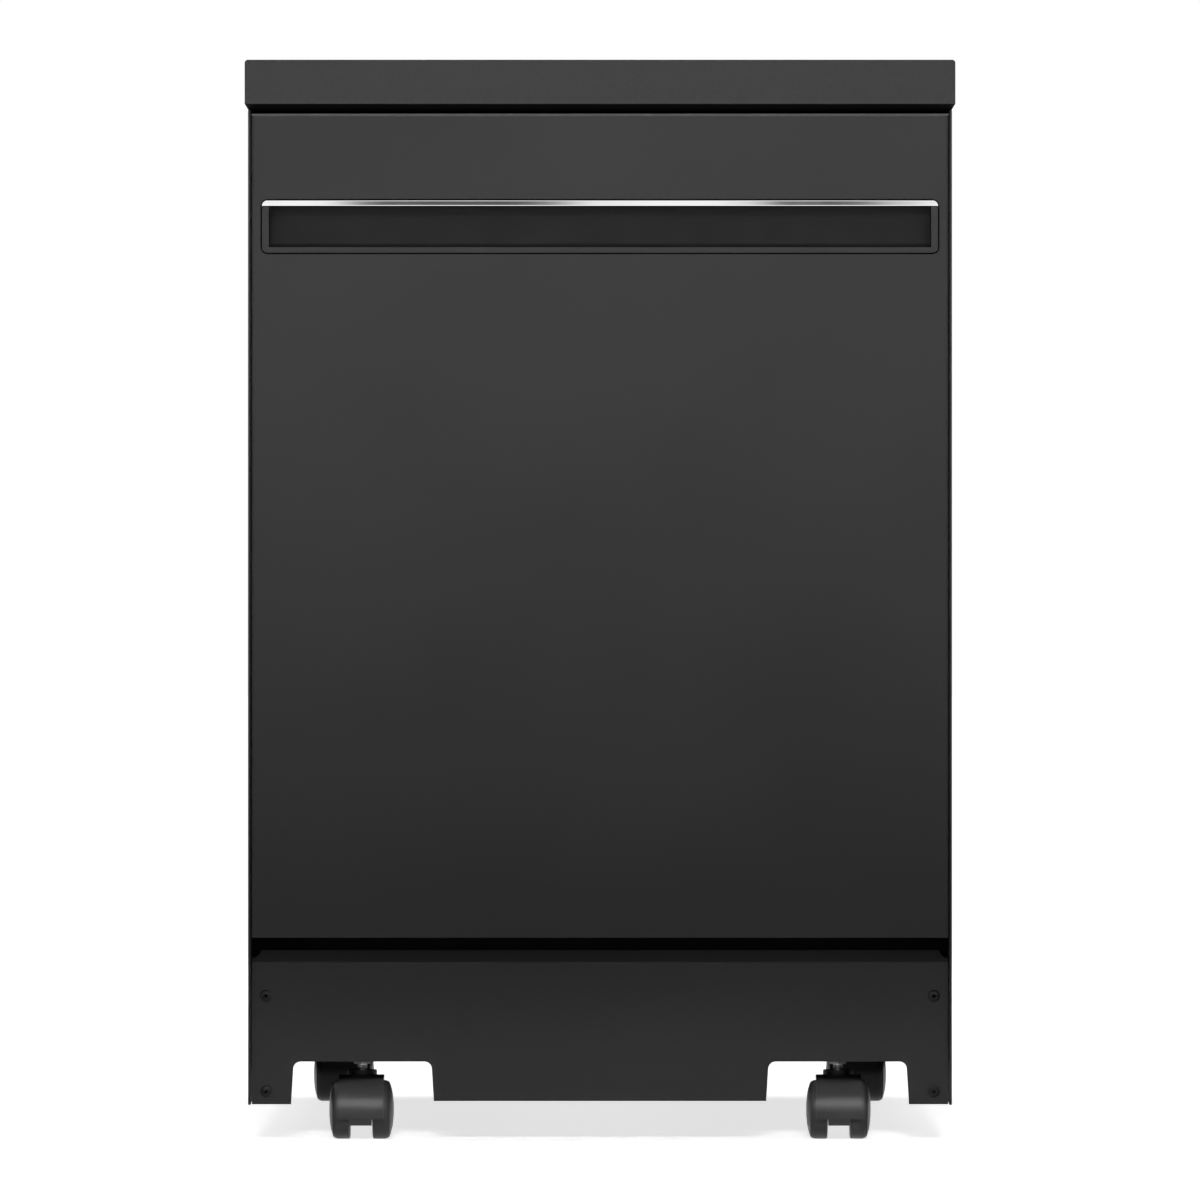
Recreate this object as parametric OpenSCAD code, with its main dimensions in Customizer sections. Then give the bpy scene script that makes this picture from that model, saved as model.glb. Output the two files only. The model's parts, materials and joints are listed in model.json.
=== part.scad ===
// Portable dishwasher on casters: cabinet, drop-down door, tub, racks and wash system.
// Millimetres. X to the right as seen from the front, Y to the back, Z up from the floor.
// The origin is on the floor under the middle of the worktop, and the door faces -Y.

/* [Cabinet] */
// Width over the two side panels
cabinet_w = 604.4; // [590:0.4:640]
// Depth of the worktop, front to back
worktop_d = 718; // [700:1:760]
// Height of the worktop above the floor
overall_h = 930; // [915:1:980]
// Thickness of the worktop
worktop_t = 43; // [36:1:55]
// Overhang of the worktop past each side panel
worktop_overhang = 2.6; // [1:0.2:10]
// Overhang of the worktop past the back of the cabinet
worktop_back_overhang = 9; // [4:1:20]
// Height of the bevel under the edge of the worktop
worktop_bevel = 5; // [2:0.5:10]
// how far that bevel runs in under the front and back edges
worktop_undercut = 9; // [3:0.5:14]
// Radius along the top edge of the worktop
worktop_edge_r = 3; // [1:0.5:8]
// Thickness of the cabinet's sheet steel
sheet_t = 1; // [0.8:0.1:1.6]
// Width of the flanges that stiffen the sheet steel panels
flange_w = 16; // [12:1:24]
// Gap from the floor to the lower edge of the cabinet
skirt_gap = 33; // [28:1:40]

/* [Kick plate] */
// Height of the kick plate's front face
kick_h = 122; // [118:1:130]
// Setback of the kick plate from the door's face
kick_setback = 10; // [8:0.5:14]
// Rise and run of the sloping flange along the kick plate's top
kick_slope = 10; // [6:0.5:11]
// Amount by which the kick plate's middle skirt is shorter than its legs
kick_skirt_step = 2.8; // [0:0.2:8]
// Width of each caster notch at its foot
notch_w = 123; // [115:1:130]
// Height of each caster notch above the cabinet's lower edge
notch_h = 36.7; // [30:0.1:40]
// Slant of each side of a notch, from foot to top
notch_slant = 1.9; // [0:0.1:5]
// Corner radius of a notch
notch_r = 6.5; // [3:0.5:10]
// Distance of the kick plate's screws from the cabinet's outer face
kick_screw_inset = 15.6; // [14:0.2:18]
// Diameter of a kick plate screw's head
screw_head_d = 9.2; // [7:0.2:10]

/* [Door] */
// Gap between the kick plate's bend and the door's lower edge
door_bottom_gap = 21.5; // [20:0.5:26]
// Gap between the door's top and the worktop
door_top_gap = 3; // [2.5:0.5:8]
// Setback of the door's face from the worktop's front edge
door_setback = 5; // [3:0.5:10]
// Gap between the door and each side panel
door_side_gap = 0.8; // [0.6:0.1:2]
// Thickness of the door, from its face to the liner's flat rim
door_t = 50; // [46:1:56]
// Thickness of the door's painted outer sheet
door_sheet_t = 1.2; // [0.8:0.1:1.6]
// Radius of the door's vertical edges
door_edge_r = 3; // [2:0.5:5]
// Distance of the hinge axis behind the door's face
hinge_inset = 26; // [24:0.5:27]
// Height of the hinge axis above the door's lower edge
hinge_rise = 31.5; // [30:0.5:34]
// Radius of the hinge pins
hinge_pin_r = 4; // [3:0.5:5]
// Depth of the recess stamped in the door's liner
liner_recess = 18; // [12:1:20]
// Height of the control console at the top of the door
console_h = 40; // [36:1:50]

/* [Handle] */
// Width of the handle pocket over its frame
handle_w = 580.4; // [400:0.4:584]
// Height of the handle pocket over its frame and trim
handle_h = 45; // [40:0.5:60]
// Distance from the door's top to the top of the handle
handle_drop = 74.6; // [60:0.2:120]
// Width of the frame at the ends of the pocket
handle_side_frame = 6; // [4:0.5:10]
// Height of the frame under the pocket's mouth
handle_lower_frame = 4.8; // [3:0.2:8]
// Height of the bright trim strip
handle_trim_h = 4.8; // [3:0.2:8]
// Corner radius of the handle
handle_r = 5; // [3:0.5:8]
// Depth of the pocket behind the door's face
handle_depth = 31; // [26:1:34]

/* [Controls] */
// Size of a button along the door
button_w = 26; // [16:1:30]
// Size of a button across the door's top
button_d = 11; // [8:0.5:14]
// Distance between neighbouring buttons' centres
button_pitch = 40; // [34:1:44]
// Height of a button above the console
button_proud = 0.8; // [0.4:0.1:1.5]

/* [Tub] */
// Gap between the tub and each side panel's outer face
tub_side_gap = 22.2; // [19:0.2:32]
// Outer depth of the tub
tub_d = 525; // [500:1:540]
// Thickness of the tub's stainless sheet
tub_t = 1; // [0.6:0.1:1.5]
// Corner radius of the tub
tub_r = 36; // [20:1:60]
// Width of the ledges that the lower rack rolls on
ledge_w = 46; // [40:1:60]
// Drop from the ledges to the tub's floor
floor_drop = 26; // [20:1:30]
// Gap between the tub's roof and the worktop
tub_roof_gap = 15; // [12:1:30]
// Radius of the sump's mouth in the tub's floor
sump_r = 72; // [60:1:80]

/* [Racks] */
// Diameter of a coated rack wire
wire_d = 3.4; // [2.8:0.1:4.4]
// Diameter of the frame wires around each rack
rim_d = 5; // [4:0.2:6]
// Height of the upper rack's floor above the ledges
upper_rack_rise = 326; // [310:1:340]
// Height of the upper rack's walls
upper_rack_h = 120; // [90:1:140]
// Height of the lower rack's walls
lower_rack_h = 135; // [110:1:150]
// Number of wires from front to back in each rack's floor
long_wires = 9; // [7:2:11]
// Number of wires from side to side in each rack's floor
cross_wires = 9; // [7:2:11]
// Radius of the bends that carry the wires from each rack's floor to its walls
rack_bend = 5; // [4:0.5:8]
// Height of the lower rack's tines
tine_h = 70; // [50:1:90]
// Height of the upper rack's tines
cup_tine_h = 52; // [40:1:70]
// Distance between neighbouring rows of tines in the lower rack
tine_row_pitch = 42; // [34:1:60]
// Radius of the lower rack's wheels
rack_wheel_r = 16; // [14:0.5:18]
// Radius of the rollers that carry the upper rack
roller_r = 9; // [8:0.5:11]

/* [Wash system] */
// Length of the lower spray arm, tip to tip
lower_arm_l = 440; // [380:2:450]
// Length of the upper spray arm, tip to tip
upper_arm_l = 420; // [360:2:430]
// Thickness of a spray arm's blade
blade_t = 9; // [7:0.5:10]
// Radius of the pipe that feeds the upper arm and the top nozzle
pipe_r = 9; // [7:0.5:10]
// Diameter of the heating element's tube
heater_d = 8; // [6:0.5:9]
// Radius of the heating element's loop
heater_r = 150; // [120:1:165]

/* [Casters] */
// Diameter of a caster wheel
wheel_d = 50.8; // [46:0.2:52]
// Width of one wheel of a caster
wheel_w = 18; // [14:0.5:20]
// Width over both wheels of a caster
caster_w = 55.5; // [50:0.5:60]
// Distance between a caster's stem and its axle
caster_trail = 20; // [14:0.5:24]
// Height of a caster's hood above the floor
hood_h = 55; // [53.5:0.5:58]
// Height of the collar on top of a hood
collar_h = 3.6; // [2:0.2:6]
// Diameter of a caster's stem
stem_d = 8; // [7:0.1:11]
// Distance of the front casters' stems from the middle
front_stem_x = 206.4; // [180:0.2:215]
// Distance of the rear casters' stems from the middle
rear_stem_x = 238; // [200:1:240]
// Distance of the front stems from the worktop's front edge
front_stem_inset = 89; // [84:1:110]
// Distance of the rear stems from the worktop's back edge
rear_stem_inset = 84; // [76:1:110]

/* [Hidden] */

// Fits
seat = 0.3;              // gap where one piece rests against another on a different body
running = 0.05;          // radial clearance of a shaft in its bore
over = 1;                // how far a cutting shape runs past the face it cuts
arc_n = 8;               // segments in a quarter turn of a drawn corner
round_fn = 48;           // smoothness of round pieces

// Finishes
black_paint = [0.10, 0.10, 0.105];
black_plastic = [0.07, 0.07, 0.075];
grey_plastic = [0.55, 0.56, 0.57];
white_plastic = [0.85, 0.86, 0.86];
stainless = [0.72, 0.73, 0.74];
chrome_finish = [0.88, 0.88, 0.9];
zinc = [0.6, 0.61, 0.62];
rack_coat = [0.5, 0.52, 0.54];
rubber_grey = [0.22, 0.22, 0.23];

// Cabinet places
half_w = cabinet_w / 2;
half_d = worktop_d / 2;
worktop_z = overall_h - worktop_t;
door_front = -half_d + door_setback;
hem_t = 2 * sheet_t + 0.2;                 // a side panel's folded front edge
hem_in = half_w - hem_t;                   // inner face of the fold
side_setback = 2;                          // the folded edge sits this far behind the door's face
side_front = door_front + side_setback;
cabinet_back = half_d - worktop_back_overhang;
side_in = half_w - sheet_t;                // inner face of a side panel

// Door and hinge places
kick_top = skirt_gap + kick_h;
kick_front = door_front + kick_setback;
door_bottom = kick_top + door_bottom_gap;
door_top = worktop_z - door_top_gap;
door_half_w = hem_in - door_side_gap;
hinge_y = door_front + hinge_inset;
hinge_z = door_bottom + hinge_rise;
liner_y = door_front + door_t;             // the liner's flat rim, which faces the tub
liner_t = 1;
recess_y = liner_y - liner_recess;         // floor of the liner's recess
liner_half_w = door_half_w - door_sheet_t - seat;
lip_h = 1.8;                               // the console's lip that shows over the door's sheet
panel_top = door_top - lip_h - 0.8;        // upper edge of the door's sheet, under a fine seam
console_z = door_top - console_h;
console_wall = 2.5;

// Tub places
tub_gap = 3;                               // room for the gasket
tub_front = liner_y + tub_gap;
tub_back = tub_front + tub_d;
tub_top = worktop_z - tub_roof_gap;
tub_w = cabinet_w - 2 * tub_side_gap;
ledge_z = hinge_z + door_t - hinge_inset + 1;  // the ledges lie just above the open door's liner
floor_z = ledge_z - floor_drop;
tub_half = tub_w / 2 - tub_t;              // inner half width
tub_rim_w = 11;                            // width of the rim around the tub's mouth
tub_mid_y = (tub_front + tub_back) / 2;

// Handle places
handle_top = door_top - handle_drop;
handle_bottom = handle_top - handle_h;
mouth_top = handle_top - handle_trim_h;
mouth_bottom = handle_bottom + handle_lower_frame;
mouth_half_w = handle_w / 2 - handle_side_frame;

// Casters: [name, stem x, stem y]
front_stem_y = -half_d + front_stem_inset;
rear_stem_y = half_d - rear_stem_inset;
wheel_r = wheel_d / 2;
collar_top = hood_h + collar_h;
rail_z = collar_top + 9;                   // underside of the base frame
rail_h = 30;
rail_w = 50;
rail_t = 2;

// Rack places
rack_front_gap = 48;                       // from the door's liner to a rack's front wires
rack_lean = 8;                             // how far a rack's walls lean out at the top
lower_rack_front = liner_y + rack_front_gap;
lower_rack_back = tub_back - 33;
lower_rack_y = (lower_rack_front + lower_rack_back) / 2;
lower_rack_z = ledge_z + rack_wheel_r + 12;
lower_rack_half = tub_half - 31;           // from the middle to the side wires
upper_rack_z = ledge_z + upper_rack_rise;
upper_rack_front = lower_rack_front + 6;
upper_rack_back = tub_back - 54;
upper_rack_half = tub_half - 32;
rim_z = upper_rack_z + upper_rack_h;
rail_front = upper_rack_front - rack_lean - 4;
rail_back = tub_back - tub_t - 8;
roller_z = rim_z - 34;
roller_w = 7;
roller_x = tub_half - 4 - roller_w;        // inner face of a roller
roller_front_y = rail_front + 12;
roller_rear_y = roller_front_y + 50;
stud_r = 3;
lower_wheel_x = tub_half - 13;             // outer face of a lower rack wheel
lower_wheel_w = 8;
// the wheels stand at the last uprights but one of each side wall
lower_wheel_step = wire_places((lower_rack_back - lower_rack_front) / 2, cross_wires)[cross_wires - 2];
lower_wheel_front_y = lower_rack_y - lower_wheel_step;
lower_wheel_rear_y = lower_rack_y + lower_wheel_step;
lower_wheel_z = ledge_z + seat + rack_wheel_r;

// Wash system places
hub_r = 8;                                 // shaft that the lower arm turns on
arm_z = floor_z + 30;                      // underside of the lower arm's blade
heater_z = floor_z + 18;
heater_gap_a = 16;                         // angle left open at the back of the heater's ring
heater_leg_x = heater_r * sin(heater_gap_a / 2) + heater_d / 2;
heater_leg_y = tub_mid_y + heater_r + 24;
feed_y = tub_mid_y + sump_r + 40;          // where the wash pipe comes up through the floor
manifold_y = tub_back - tub_t - pipe_r - 2;
roof_pipe_z = tub_top - tub_t - pipe_r - 4;
float_x = 170;
float_y = tub_front + 70;
wire_low = wire_d * 1.2;                   // from the axis of a floor's long wires to its lowest point
feed_tube_z = upper_rack_z - wire_low - seat - pipe_r;
upper_hub_r = 7;
upper_arm_z = feed_tube_z - pipe_r - seat - blade_t - 4;

// ---- drawing helpers ----

// Points of an arc about c, from angle a0 to a1
function arc(c, r, a0, a1, n = arc_n) =
    [for (i = [0:n]) let (a = a0 + (a1 - a0) * i / n) c + r * [cos(a), sin(a)]];

// Outline of a rectangle with round corners, centred on the origin
function rounded(w, h, r) = let (n = r > 7 ? arc_n : 4) concat(
    arc([w / 2 - r, h / 2 - r], r, 0, 90, n), arc([-w / 2 + r, h / 2 - r], r, 90, 180, n),
    arc([-w / 2 + r, -h / 2 + r], r, 180, 270, n), arc([w / 2 - r, -h / 2 + r], r, 270, 360, n));

// Outline seen from above of a tray whose front corners are round
function round_front(half, y0, y1, r) = concat(
    [[half, y1]], arc([half - r, y0 + r], r, 0, -90), arc([-half + r, y0 + r], r, -90, -180), [[-half, y1]]);

module span_x(x0, x1) translate([x0, 0, 0]) rotate([90, 0, 90]) linear_extrude(x1 - x0) children();
module span_y(y0, y1) translate([0, y1, 0]) rotate([90, 0, 0]) linear_extrude(y1 - y0) children();
module span_z(z0, z1) translate([0, 0, z0]) linear_extrude(z1 - z0) children();
module block(x, y, z) translate([x[0], y[0], z[0]]) cube([x[1] - x[0], y[1] - y[0], z[1] - z[0]]);
module both_sides() {
    children();
    mirror([1, 0, 0]) children();
}
module rod_x(x, y, z, r, fn = round_fn) translate([x[0], y, z]) rotate([0, 90, 0])
    cylinder(r = r, h = x[1] - x[0], $fn = fn);
module rod_y(x, y, z, r, fn = round_fn) translate([x, y[1], z]) rotate([90, 0, 0])
    cylinder(r = r, h = y[1] - y[0], $fn = fn);
module rod_z(x, y, z, r, fn = round_fn) translate([x, y, z[0]]) cylinder(r = r, h = z[1] - z[0], $fn = fn);

// ---- cabinet ----

module worktop() {
    w = cabinet_w + 2 * worktop_overhang;
    function edge(size, run) = concat(
        arc([size / 2 - worktop_edge_r, overall_h - worktop_edge_r], worktop_edge_r, 0, 90),
        arc([-size / 2 + worktop_edge_r, overall_h - worktop_edge_r], worktop_edge_r, 90, 180),
        [[-size / 2, worktop_z + worktop_bevel], [-size / 2 + run, worktop_z],
         [size / 2 - run, worktop_z], [size / 2, worktop_z + worktop_bevel]]);
    color(black_plastic)
    intersection() {
        span_x(-w / 2, w / 2) polygon(edge(worktop_d, worktop_undercut));
        span_y(-half_d, half_d) polygon(edge(w, worktop_bevel * 0.6));
    }
}

module side_panel() {
    nose = hem_t / 2;
    color(black_paint) {
        difference() {
            union() {
                span_z(skirt_gap, worktop_z) polygon(concat(
                    [[half_w, cabinet_back], [side_in - flange_w, cabinet_back],
                     [side_in - flange_w, cabinet_back - sheet_t], [side_in, cabinet_back - sheet_t],
                     [side_in, side_front + flange_w], [hem_in, side_front + flange_w]],
                    arc([half_w - nose, side_front + nose], nose, 180, 360)));
                block([side_in - flange_w, side_in + sheet_t / 2],
                      [tub_front + flange_w, cabinet_back - 2 * sheet_t - seat],
                      [worktop_z - sheet_t, worktop_z]);
            }
            // clearance holes for the screws that hold the back panel
            for (z = back_screw_z) rod_y(back_screw_x,
                [cabinet_back - sheet_t - over, cabinet_back + over], z, 1.6);
        }
    }
}
back_screw_x = side_in - flange_w / 2;
back_screw_z = [for (i = [0:3]) skirt_gap + 60 + i * (worktop_z - skirt_gap - 120) / 3];

module left_side_panel() mirror([1, 0, 0]) side_panel();
module right_side_panel() side_panel();

hose_w = 300;
hose_h = 170;
hose_depth = 88;
hose_z = worktop_z - 60 - hose_h;
module back_panel() {
    y0 = cabinet_back - sheet_t - sheet_t;
    y1 = cabinet_back - sheet_t;
    w = 2 * (side_in - seat);
    color(black_paint)
    difference() {
        union() {
            block([-w / 2, w / 2], [y0, y1], [skirt_gap, worktop_z]);
            // ribs pressed into the sheet, standing inwards
            for (i = [0:2]) translate([0, 0, skirt_gap + 190 + i * 90])
                span_y(y0 - 3, y0 + sheet_t / 2) polygon(rounded(w - 160, 24, 11.9));
        }
        for (i = [0:2]) translate([0, 0, skirt_gap + 190 + i * 90])
            span_y(y1 - 3, y1 + over) polygon(rounded(w - 160 - 2 * sheet_t, 24 - 2 * sheet_t, 10.9));
        translate([0, 0, hose_z + hose_h / 2]) span_y(y0 - over, y1 + over)
            polygon(rounded(hose_w, hose_h, 12));
        for (s = [-1, 1], z = back_screw_z) rod_y(s * back_screw_x, [y0 - over, y1 + over], z, 1.6);
        // louvres that let the motor's heat out
        for (i = [-4:4]) translate([i * 26, 0, skirt_gap + 110])
            span_y(y0 - over, y1 + over) polygon(rounded(7, 60, 3.4));
    }
}

module hose_compartment() {
    y1 = cabinet_back - 2 * sheet_t;
    y0 = y1 - hose_depth;
    zc = hose_z + hose_h / 2;
    wall = 2.5;
    color(black_plastic)
    difference() {
        union() {
            translate([0, 0, zc]) span_y(y0, y1) polygon(rounded(hose_w - 2 * seat, hose_h - 2 * seat, 12));
            translate([0, 0, zc]) span_y(y1 - wall, y1) polygon(rounded(hose_w + 24, hose_h + 24, 16));
        }
        translate([0, 0, zc]) span_y(y0 + wall, y1 + over)
            polygon(rounded(hose_w - 2 * wall, hose_h - 2 * wall, 10));
        // outlets for the fill hose, the drain hose and the power lead
        for (x = [-90, -40]) rod_y(x, [y0 - over, y0 + wall + over], hose_z + 45, 13);
        rod_y(60, [y0 - over, y0 + wall + over], hose_z + 45, 8);
    }
}

kick_half_w = door_half_w;
kick_t = 1.2;
bracket_y = kick_front + kick_t;
screw_x = half_w - kick_screw_inset;
screw_z = [skirt_gap + 11.4, kick_top - 29.3];

// The part of a caster notch on the right, as seen from the front
module notch_outline() {
    foot_out = kick_half_w - 33.6;
    z1 = skirt_gap + notch_h;
    polygon(concat(
        [[foot_out - notch_w, skirt_gap - over], [foot_out, skirt_gap - over]],
        arc([foot_out - notch_slant - notch_r, z1 - notch_r], notch_r, 0, 90),
        arc([foot_out - notch_w + notch_slant + notch_r, z1 - notch_r], notch_r, 90, 180)));
}

module kick_plate() {
    r = 2.5;
    run = kick_slope;
    y0 = kick_front;
    // the bend along the top: upright face, round bend, then a flange that slopes up and back
    outline = concat(
        [[y0, skirt_gap]], arc([y0 + r, kick_top - r / 2], r, 180, 135),
        [[y0 + run, kick_top + run], [y0 + run + kick_t * 0.7, kick_top + run - kick_t * 0.7]],
        arc([y0 + r, kick_top - r / 2], r - kick_t, 135, 180), [[y0 + kick_t, skirt_gap]]);
    foot_out = kick_half_w - 33.6;
    color(black_paint)
    difference() {
        span_x(-kick_half_w, kick_half_w) polygon(outline);
        both_sides() span_y(y0 - over, y0 + run) notch_outline();
        block([-foot_out + notch_w / 2, foot_out - notch_w / 2], [y0 - over, y0 + run],
              [skirt_gap - over, skirt_gap + kick_skirt_step]);
        // the ends of the sloping flange are trimmed round
        both_sides() translate([kick_half_w, y0 + run + over, kick_top + run + over])
            rotate([90, 0, 0]) cylinder(r = run * 0.75, h = run + over, $fn = round_fn);
        both_sides() for (z = screw_z) rod_y(screw_x, [y0 - over, y0 + kick_t + over], z, 2.2);
    }
}

module kick_plate_screws() {
    color(black_paint)
    both_sides() for (z = screw_z) difference() {
        union() {
            translate([screw_x, kick_front, z]) rotate([90, 0, 0]) rotate_extrude($fn = round_fn)
                polygon(concat([[0, 0], [screw_head_d / 2, 0], [screw_head_d / 2, 0.6]],
                               arc([0, -4.0], 6.5, 42, 90, 6)));
            rod_y(screw_x, [kick_front - 0.2, kick_front + 12], z, 1.9);
        }
        for (a = [0, 90]) translate([screw_x, kick_front - 2.6, z]) rotate([0, a, 0])
            cube([4.4, 3.4, 1], center = true);
    }
}

// Painted steel chassis: two cross rails that hold the caster stems, two long rails, posts for the
// kick plate, uprights under the tub, and a baffle that closes the view in under the door
module base_frame() {
    x1 = side_in - seat;
    post_x = hem_in - seat;
    y0 = front_stem_y - rail_w / 2;
    y1 = rear_stem_y + rail_w / 2;
    color(black_paint)
    difference() {
        union() {
            for (y = [front_stem_y, rear_stem_y])
                span_x(-x1, x1) channel(y);
            both_sides() block([x1 - 24, x1], [y0, y1], [rail_z, rail_z + rail_h]);
            both_sides() block([110, 134], [y0 + 1, y1 - 1], [rail_z + 4, rail_z + rail_h - 4]);
            // posts behind the kick plate, and the arms that carry them
            both_sides() block([screw_x - 10, post_x], [bracket_y, bracket_y + rail_t],
                [skirt_gap + 2, kick_top - 12]);
            both_sides() block([post_x - rail_t, post_x], [bracket_y, y0 + 1], [rail_z, kick_top - 12]);
            both_sides() for (s = stems) rod_z(s[0], s[1], [rail_z, rail_z + rail_h], stem_d / 2 + 3.5);
            // uprights under the tub
            both_sides() for (y = [front_stem_y, rear_stem_y - 80])
                block([x1 - 20, x1], [y - 15, y + 15], [rail_z + rail_h - over, bracket_top]);
            block([-x1 + 19, x1 - 19], [baffle_y, baffle_y + baffle_t],
                [rail_z + rail_h - over, floor_z - baffle_gap]);
        }
        both_sides() for (s = stems) rod_z(s[0], s[1], [rail_z - over, rail_z + rail_h + over],
            stem_d / 2 + running);
        // the long rails are open below, as pressed channels are
        both_sides() block([x1 - 24 + rail_t, x1 - rail_t], [y0 + rail_w, y1 - rail_w],
            [rail_z - over, rail_z + rail_h - rail_t]);
        both_sides() for (z = screw_z) rod_y(screw_x, [bracket_y - over, bracket_y + rail_t + over], z,
            1.9 + running);
    }
    module channel(y) difference() {
        translate([y - rail_w / 2, rail_z]) square([rail_w, rail_h]);
        translate([y - rail_w / 2 + rail_t, rail_z - over])
            square([rail_w - 2 * rail_t, rail_h - rail_t + over]);
    }
}
stems = [[front_stem_x, front_stem_y], [rear_stem_x, rear_stem_y]];
upright_drop = 30;                         // from the tub's floor to the top of the uprights
bracket_top = floor_z - upright_drop;
baffle_t = 1.2;
baffle_gap = 5;
baffle_y = hinge_y + norm([hinge_inset, hinge_rise]) + 3;  // behind what the door's lower edge sweeps

weight_half_w = 190;
weight_front = 28;                         // in front of the rear stems
weight_back = 34;
weight_h = 70;
weight_bolt_x = 150;
module counterweight() {
    z0 = rail_z + rail_h;
    color([0.35, 0.35, 0.36])
    difference() {
        span_z(z0, z0 + weight_h) polygon([
            [-weight_half_w, rear_stem_y - weight_front], [weight_half_w, rear_stem_y - weight_front],
            [weight_half_w * 0.95, rear_stem_y + weight_back],
            [-weight_half_w * 0.95, rear_stem_y + weight_back]]);
        for (x = [-weight_bolt_x, weight_bolt_x]) rod_z(x, rear_stem_y, [z0 - over, z0 + weight_h + over], 5);
    }
}

// ---- casters ----

module at_stem(front, right) translate([(right ? 1 : -1) * (front ? front_stem_x : rear_stem_x),
                                        front ? front_stem_y : rear_stem_y, 0]) children();

module caster_stems() {
    color(zinc) both_sides() for (s = stems) translate([s[0], s[1], 0]) {
        rod_z(0, 0, [hood_h - 22, rail_z + rail_h - 2], stem_d / 2);
    }
}

hood_w = 39;
wheel_gap = caster_w - 2 * wheel_w;
axle_r = 3;
// Outline of the hood seen from its side: y to the back, from the axle at (-trail, wheel_r)
module hood_side() {
    c = [-caster_trail, wheel_r];
    r = hood_h - wheel_r;
    difference() {
        union() {
            polygon(concat(arc(c, r, 90, 205, 14), [c + [-8, -4], c + [0, -axle_r - 4], c + [8, 4]],
                           [[stem_d / 2 + 5, wheel_r + 6], [stem_d / 2 + 5, hood_h - 3],
                           [stem_d / 2 + 2, hood_h]]));
            translate(c) circle(axle_r + 4, $fn = round_fn);
        }
    }
}
module caster_hood() {
    c = [-caster_trail, wheel_r];
    wall = 2;
    web = wheel_gap / 2 - seat;
    color(black_plastic)
    difference() {
        union() {
            // the web between the wheels, with the boss that takes the stem
            span_x(-web, web) hood_side();
            // the cover that wraps over the front of both wheels
            span_x(-hood_w / 2, hood_w / 2) polygon(concat(
                arc(c, hood_h - wheel_r, 96, 194, 14),
                arc(c, wheel_r + 1.4, 194, 84, 14),
                    [[-caster_trail + 12, hood_h - 2.2], [-caster_trail + 12, hood_h]]));
            rod_z(0, 0, [hood_h - 2, collar_top], 12.8);
            rod_z(0, 0, [wheel_r + 6, hood_h - 1], stem_d / 2 + 4.5);
        }
        rod_z(0, 0, [hood_h - 22 - 1, collar_top + over], stem_d / 2 + running);
        rod_x([-caster_w, caster_w], c[0], c[1], axle_r + running);
    }
}

// Two domed wheels pressed on one steel axle
module caster_wheels() {
    inner = wheel_gap / 2;
    outer = caster_w / 2;
    edge = 5;
    color(black_plastic)
    both_sides() translate([0, -caster_trail, wheel_r]) rotate([0, 90, 0]) difference() {
        rotate_extrude($fn = 64) polygon(concat(
            [[axle_r, inner], [wheel_r - 1, inner], [wheel_r, inner + 1]],
            arc([wheel_r - edge, outer - 2.6 - edge], edge, 0, 72, 6),
            arc([8, outer - 40.3], 40, 66, 84, 4), [[7, outer], [axle_r, outer]]));
        rotate_extrude($fn = 64) polygon([[axle_r - 2, outer - 2], [6, outer - 2], [6, outer + over],
            [axle_r - 2, outer + over]]);
    }
    color(zinc) rod_x([-outer + 2.5, outer - 2.5], -caster_trail, wheel_r, axle_r);
}

module caster_front_left_hood() at_stem(true, false) caster_hood();
module caster_front_right_hood() at_stem(true, true) caster_hood();
module caster_rear_left_hood() at_stem(false, false) caster_hood();
module caster_rear_right_hood() at_stem(false, true) caster_hood();
module caster_front_left_wheels() at_stem(true, false) caster_wheels();
module caster_front_right_wheels() at_stem(true, true) caster_wheels();
module caster_rear_left_wheels() at_stem(false, false) caster_wheels();
module caster_rear_right_wheels() at_stem(false, true) caster_wheels();

// ---- tub ----

// Outline of the tub seen from the front, taken in by inset
function tub_outline(inset, foot = 10) =
    let (h = tub_w / 2 - inset, top = tub_top - inset, r = max(tub_r - inset, 2), x1 = h - ledge_w + inset)
    concat(arc([h - r, top - r], r, 0, 90), arc([-h + r, top - r], r, 90, 180),
        [[-h, ledge_z - tub_t + inset], [-x1, ledge_z - tub_t + inset]],
        [[-x1 + foot, floor_z - tub_t + inset], [x1 - foot, floor_z - tub_t + inset]],
        [[x1, ledge_z - tub_t + inset], [h, ledge_z - tub_t + inset]]);

module tub() {
    rim_low = hinge_z + door_t;            // above what the opening door sweeps
    color(stainless)
    difference() {
        union() {
            span_y(tub_front, tub_back) polygon(tub_outline(0));
            span_y(tub_front, tub_front + tub_t) polygon(tub_outline(-tub_rim_w));
            // the rim runs on to the side panels and the worktop, which it is fixed to
            block([-side_in + seat, side_in - seat], [tub_front, tub_front + tub_t],
                [rim_low, worktop_z - seat]);
        }
        span_y(tub_front - over, tub_back - tub_t) polygon(tub_outline(tub_t));
        rod_z(0, tub_mid_y, [floor_z - 2 * tub_t - over, floor_z + over], sump_r);
        rod_z(0, feed_y, [floor_z - 2 * tub_t - over, floor_z + over], pipe_r);
        both_sides() rod_z(heater_leg_x, heater_leg_y, [floor_z - 2 * tub_t - over, floor_z + over],
            heater_d / 2 + 0.2);
        rod_z(float_x, float_y, [floor_z - 2 * tub_t - over, floor_z + over], 7);
        block([-19, 19], [tub_front - over, tub_front + 2 * tub_t], [strike_z - 1, strike_z + 3]);
    }
    // studs that carry the upper rack's rollers
    color(stainless) both_sides() for (y = [roller_front_y, roller_rear_y]) {
        rod_x([roller_x - 1.5, tub_half + tub_t / 2], y, roller_z, stud_r);
        rod_x([roller_x + roller_w + seat, tub_half + tub_t / 2], y, roller_z, stud_r + 2);
    }
}

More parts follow.
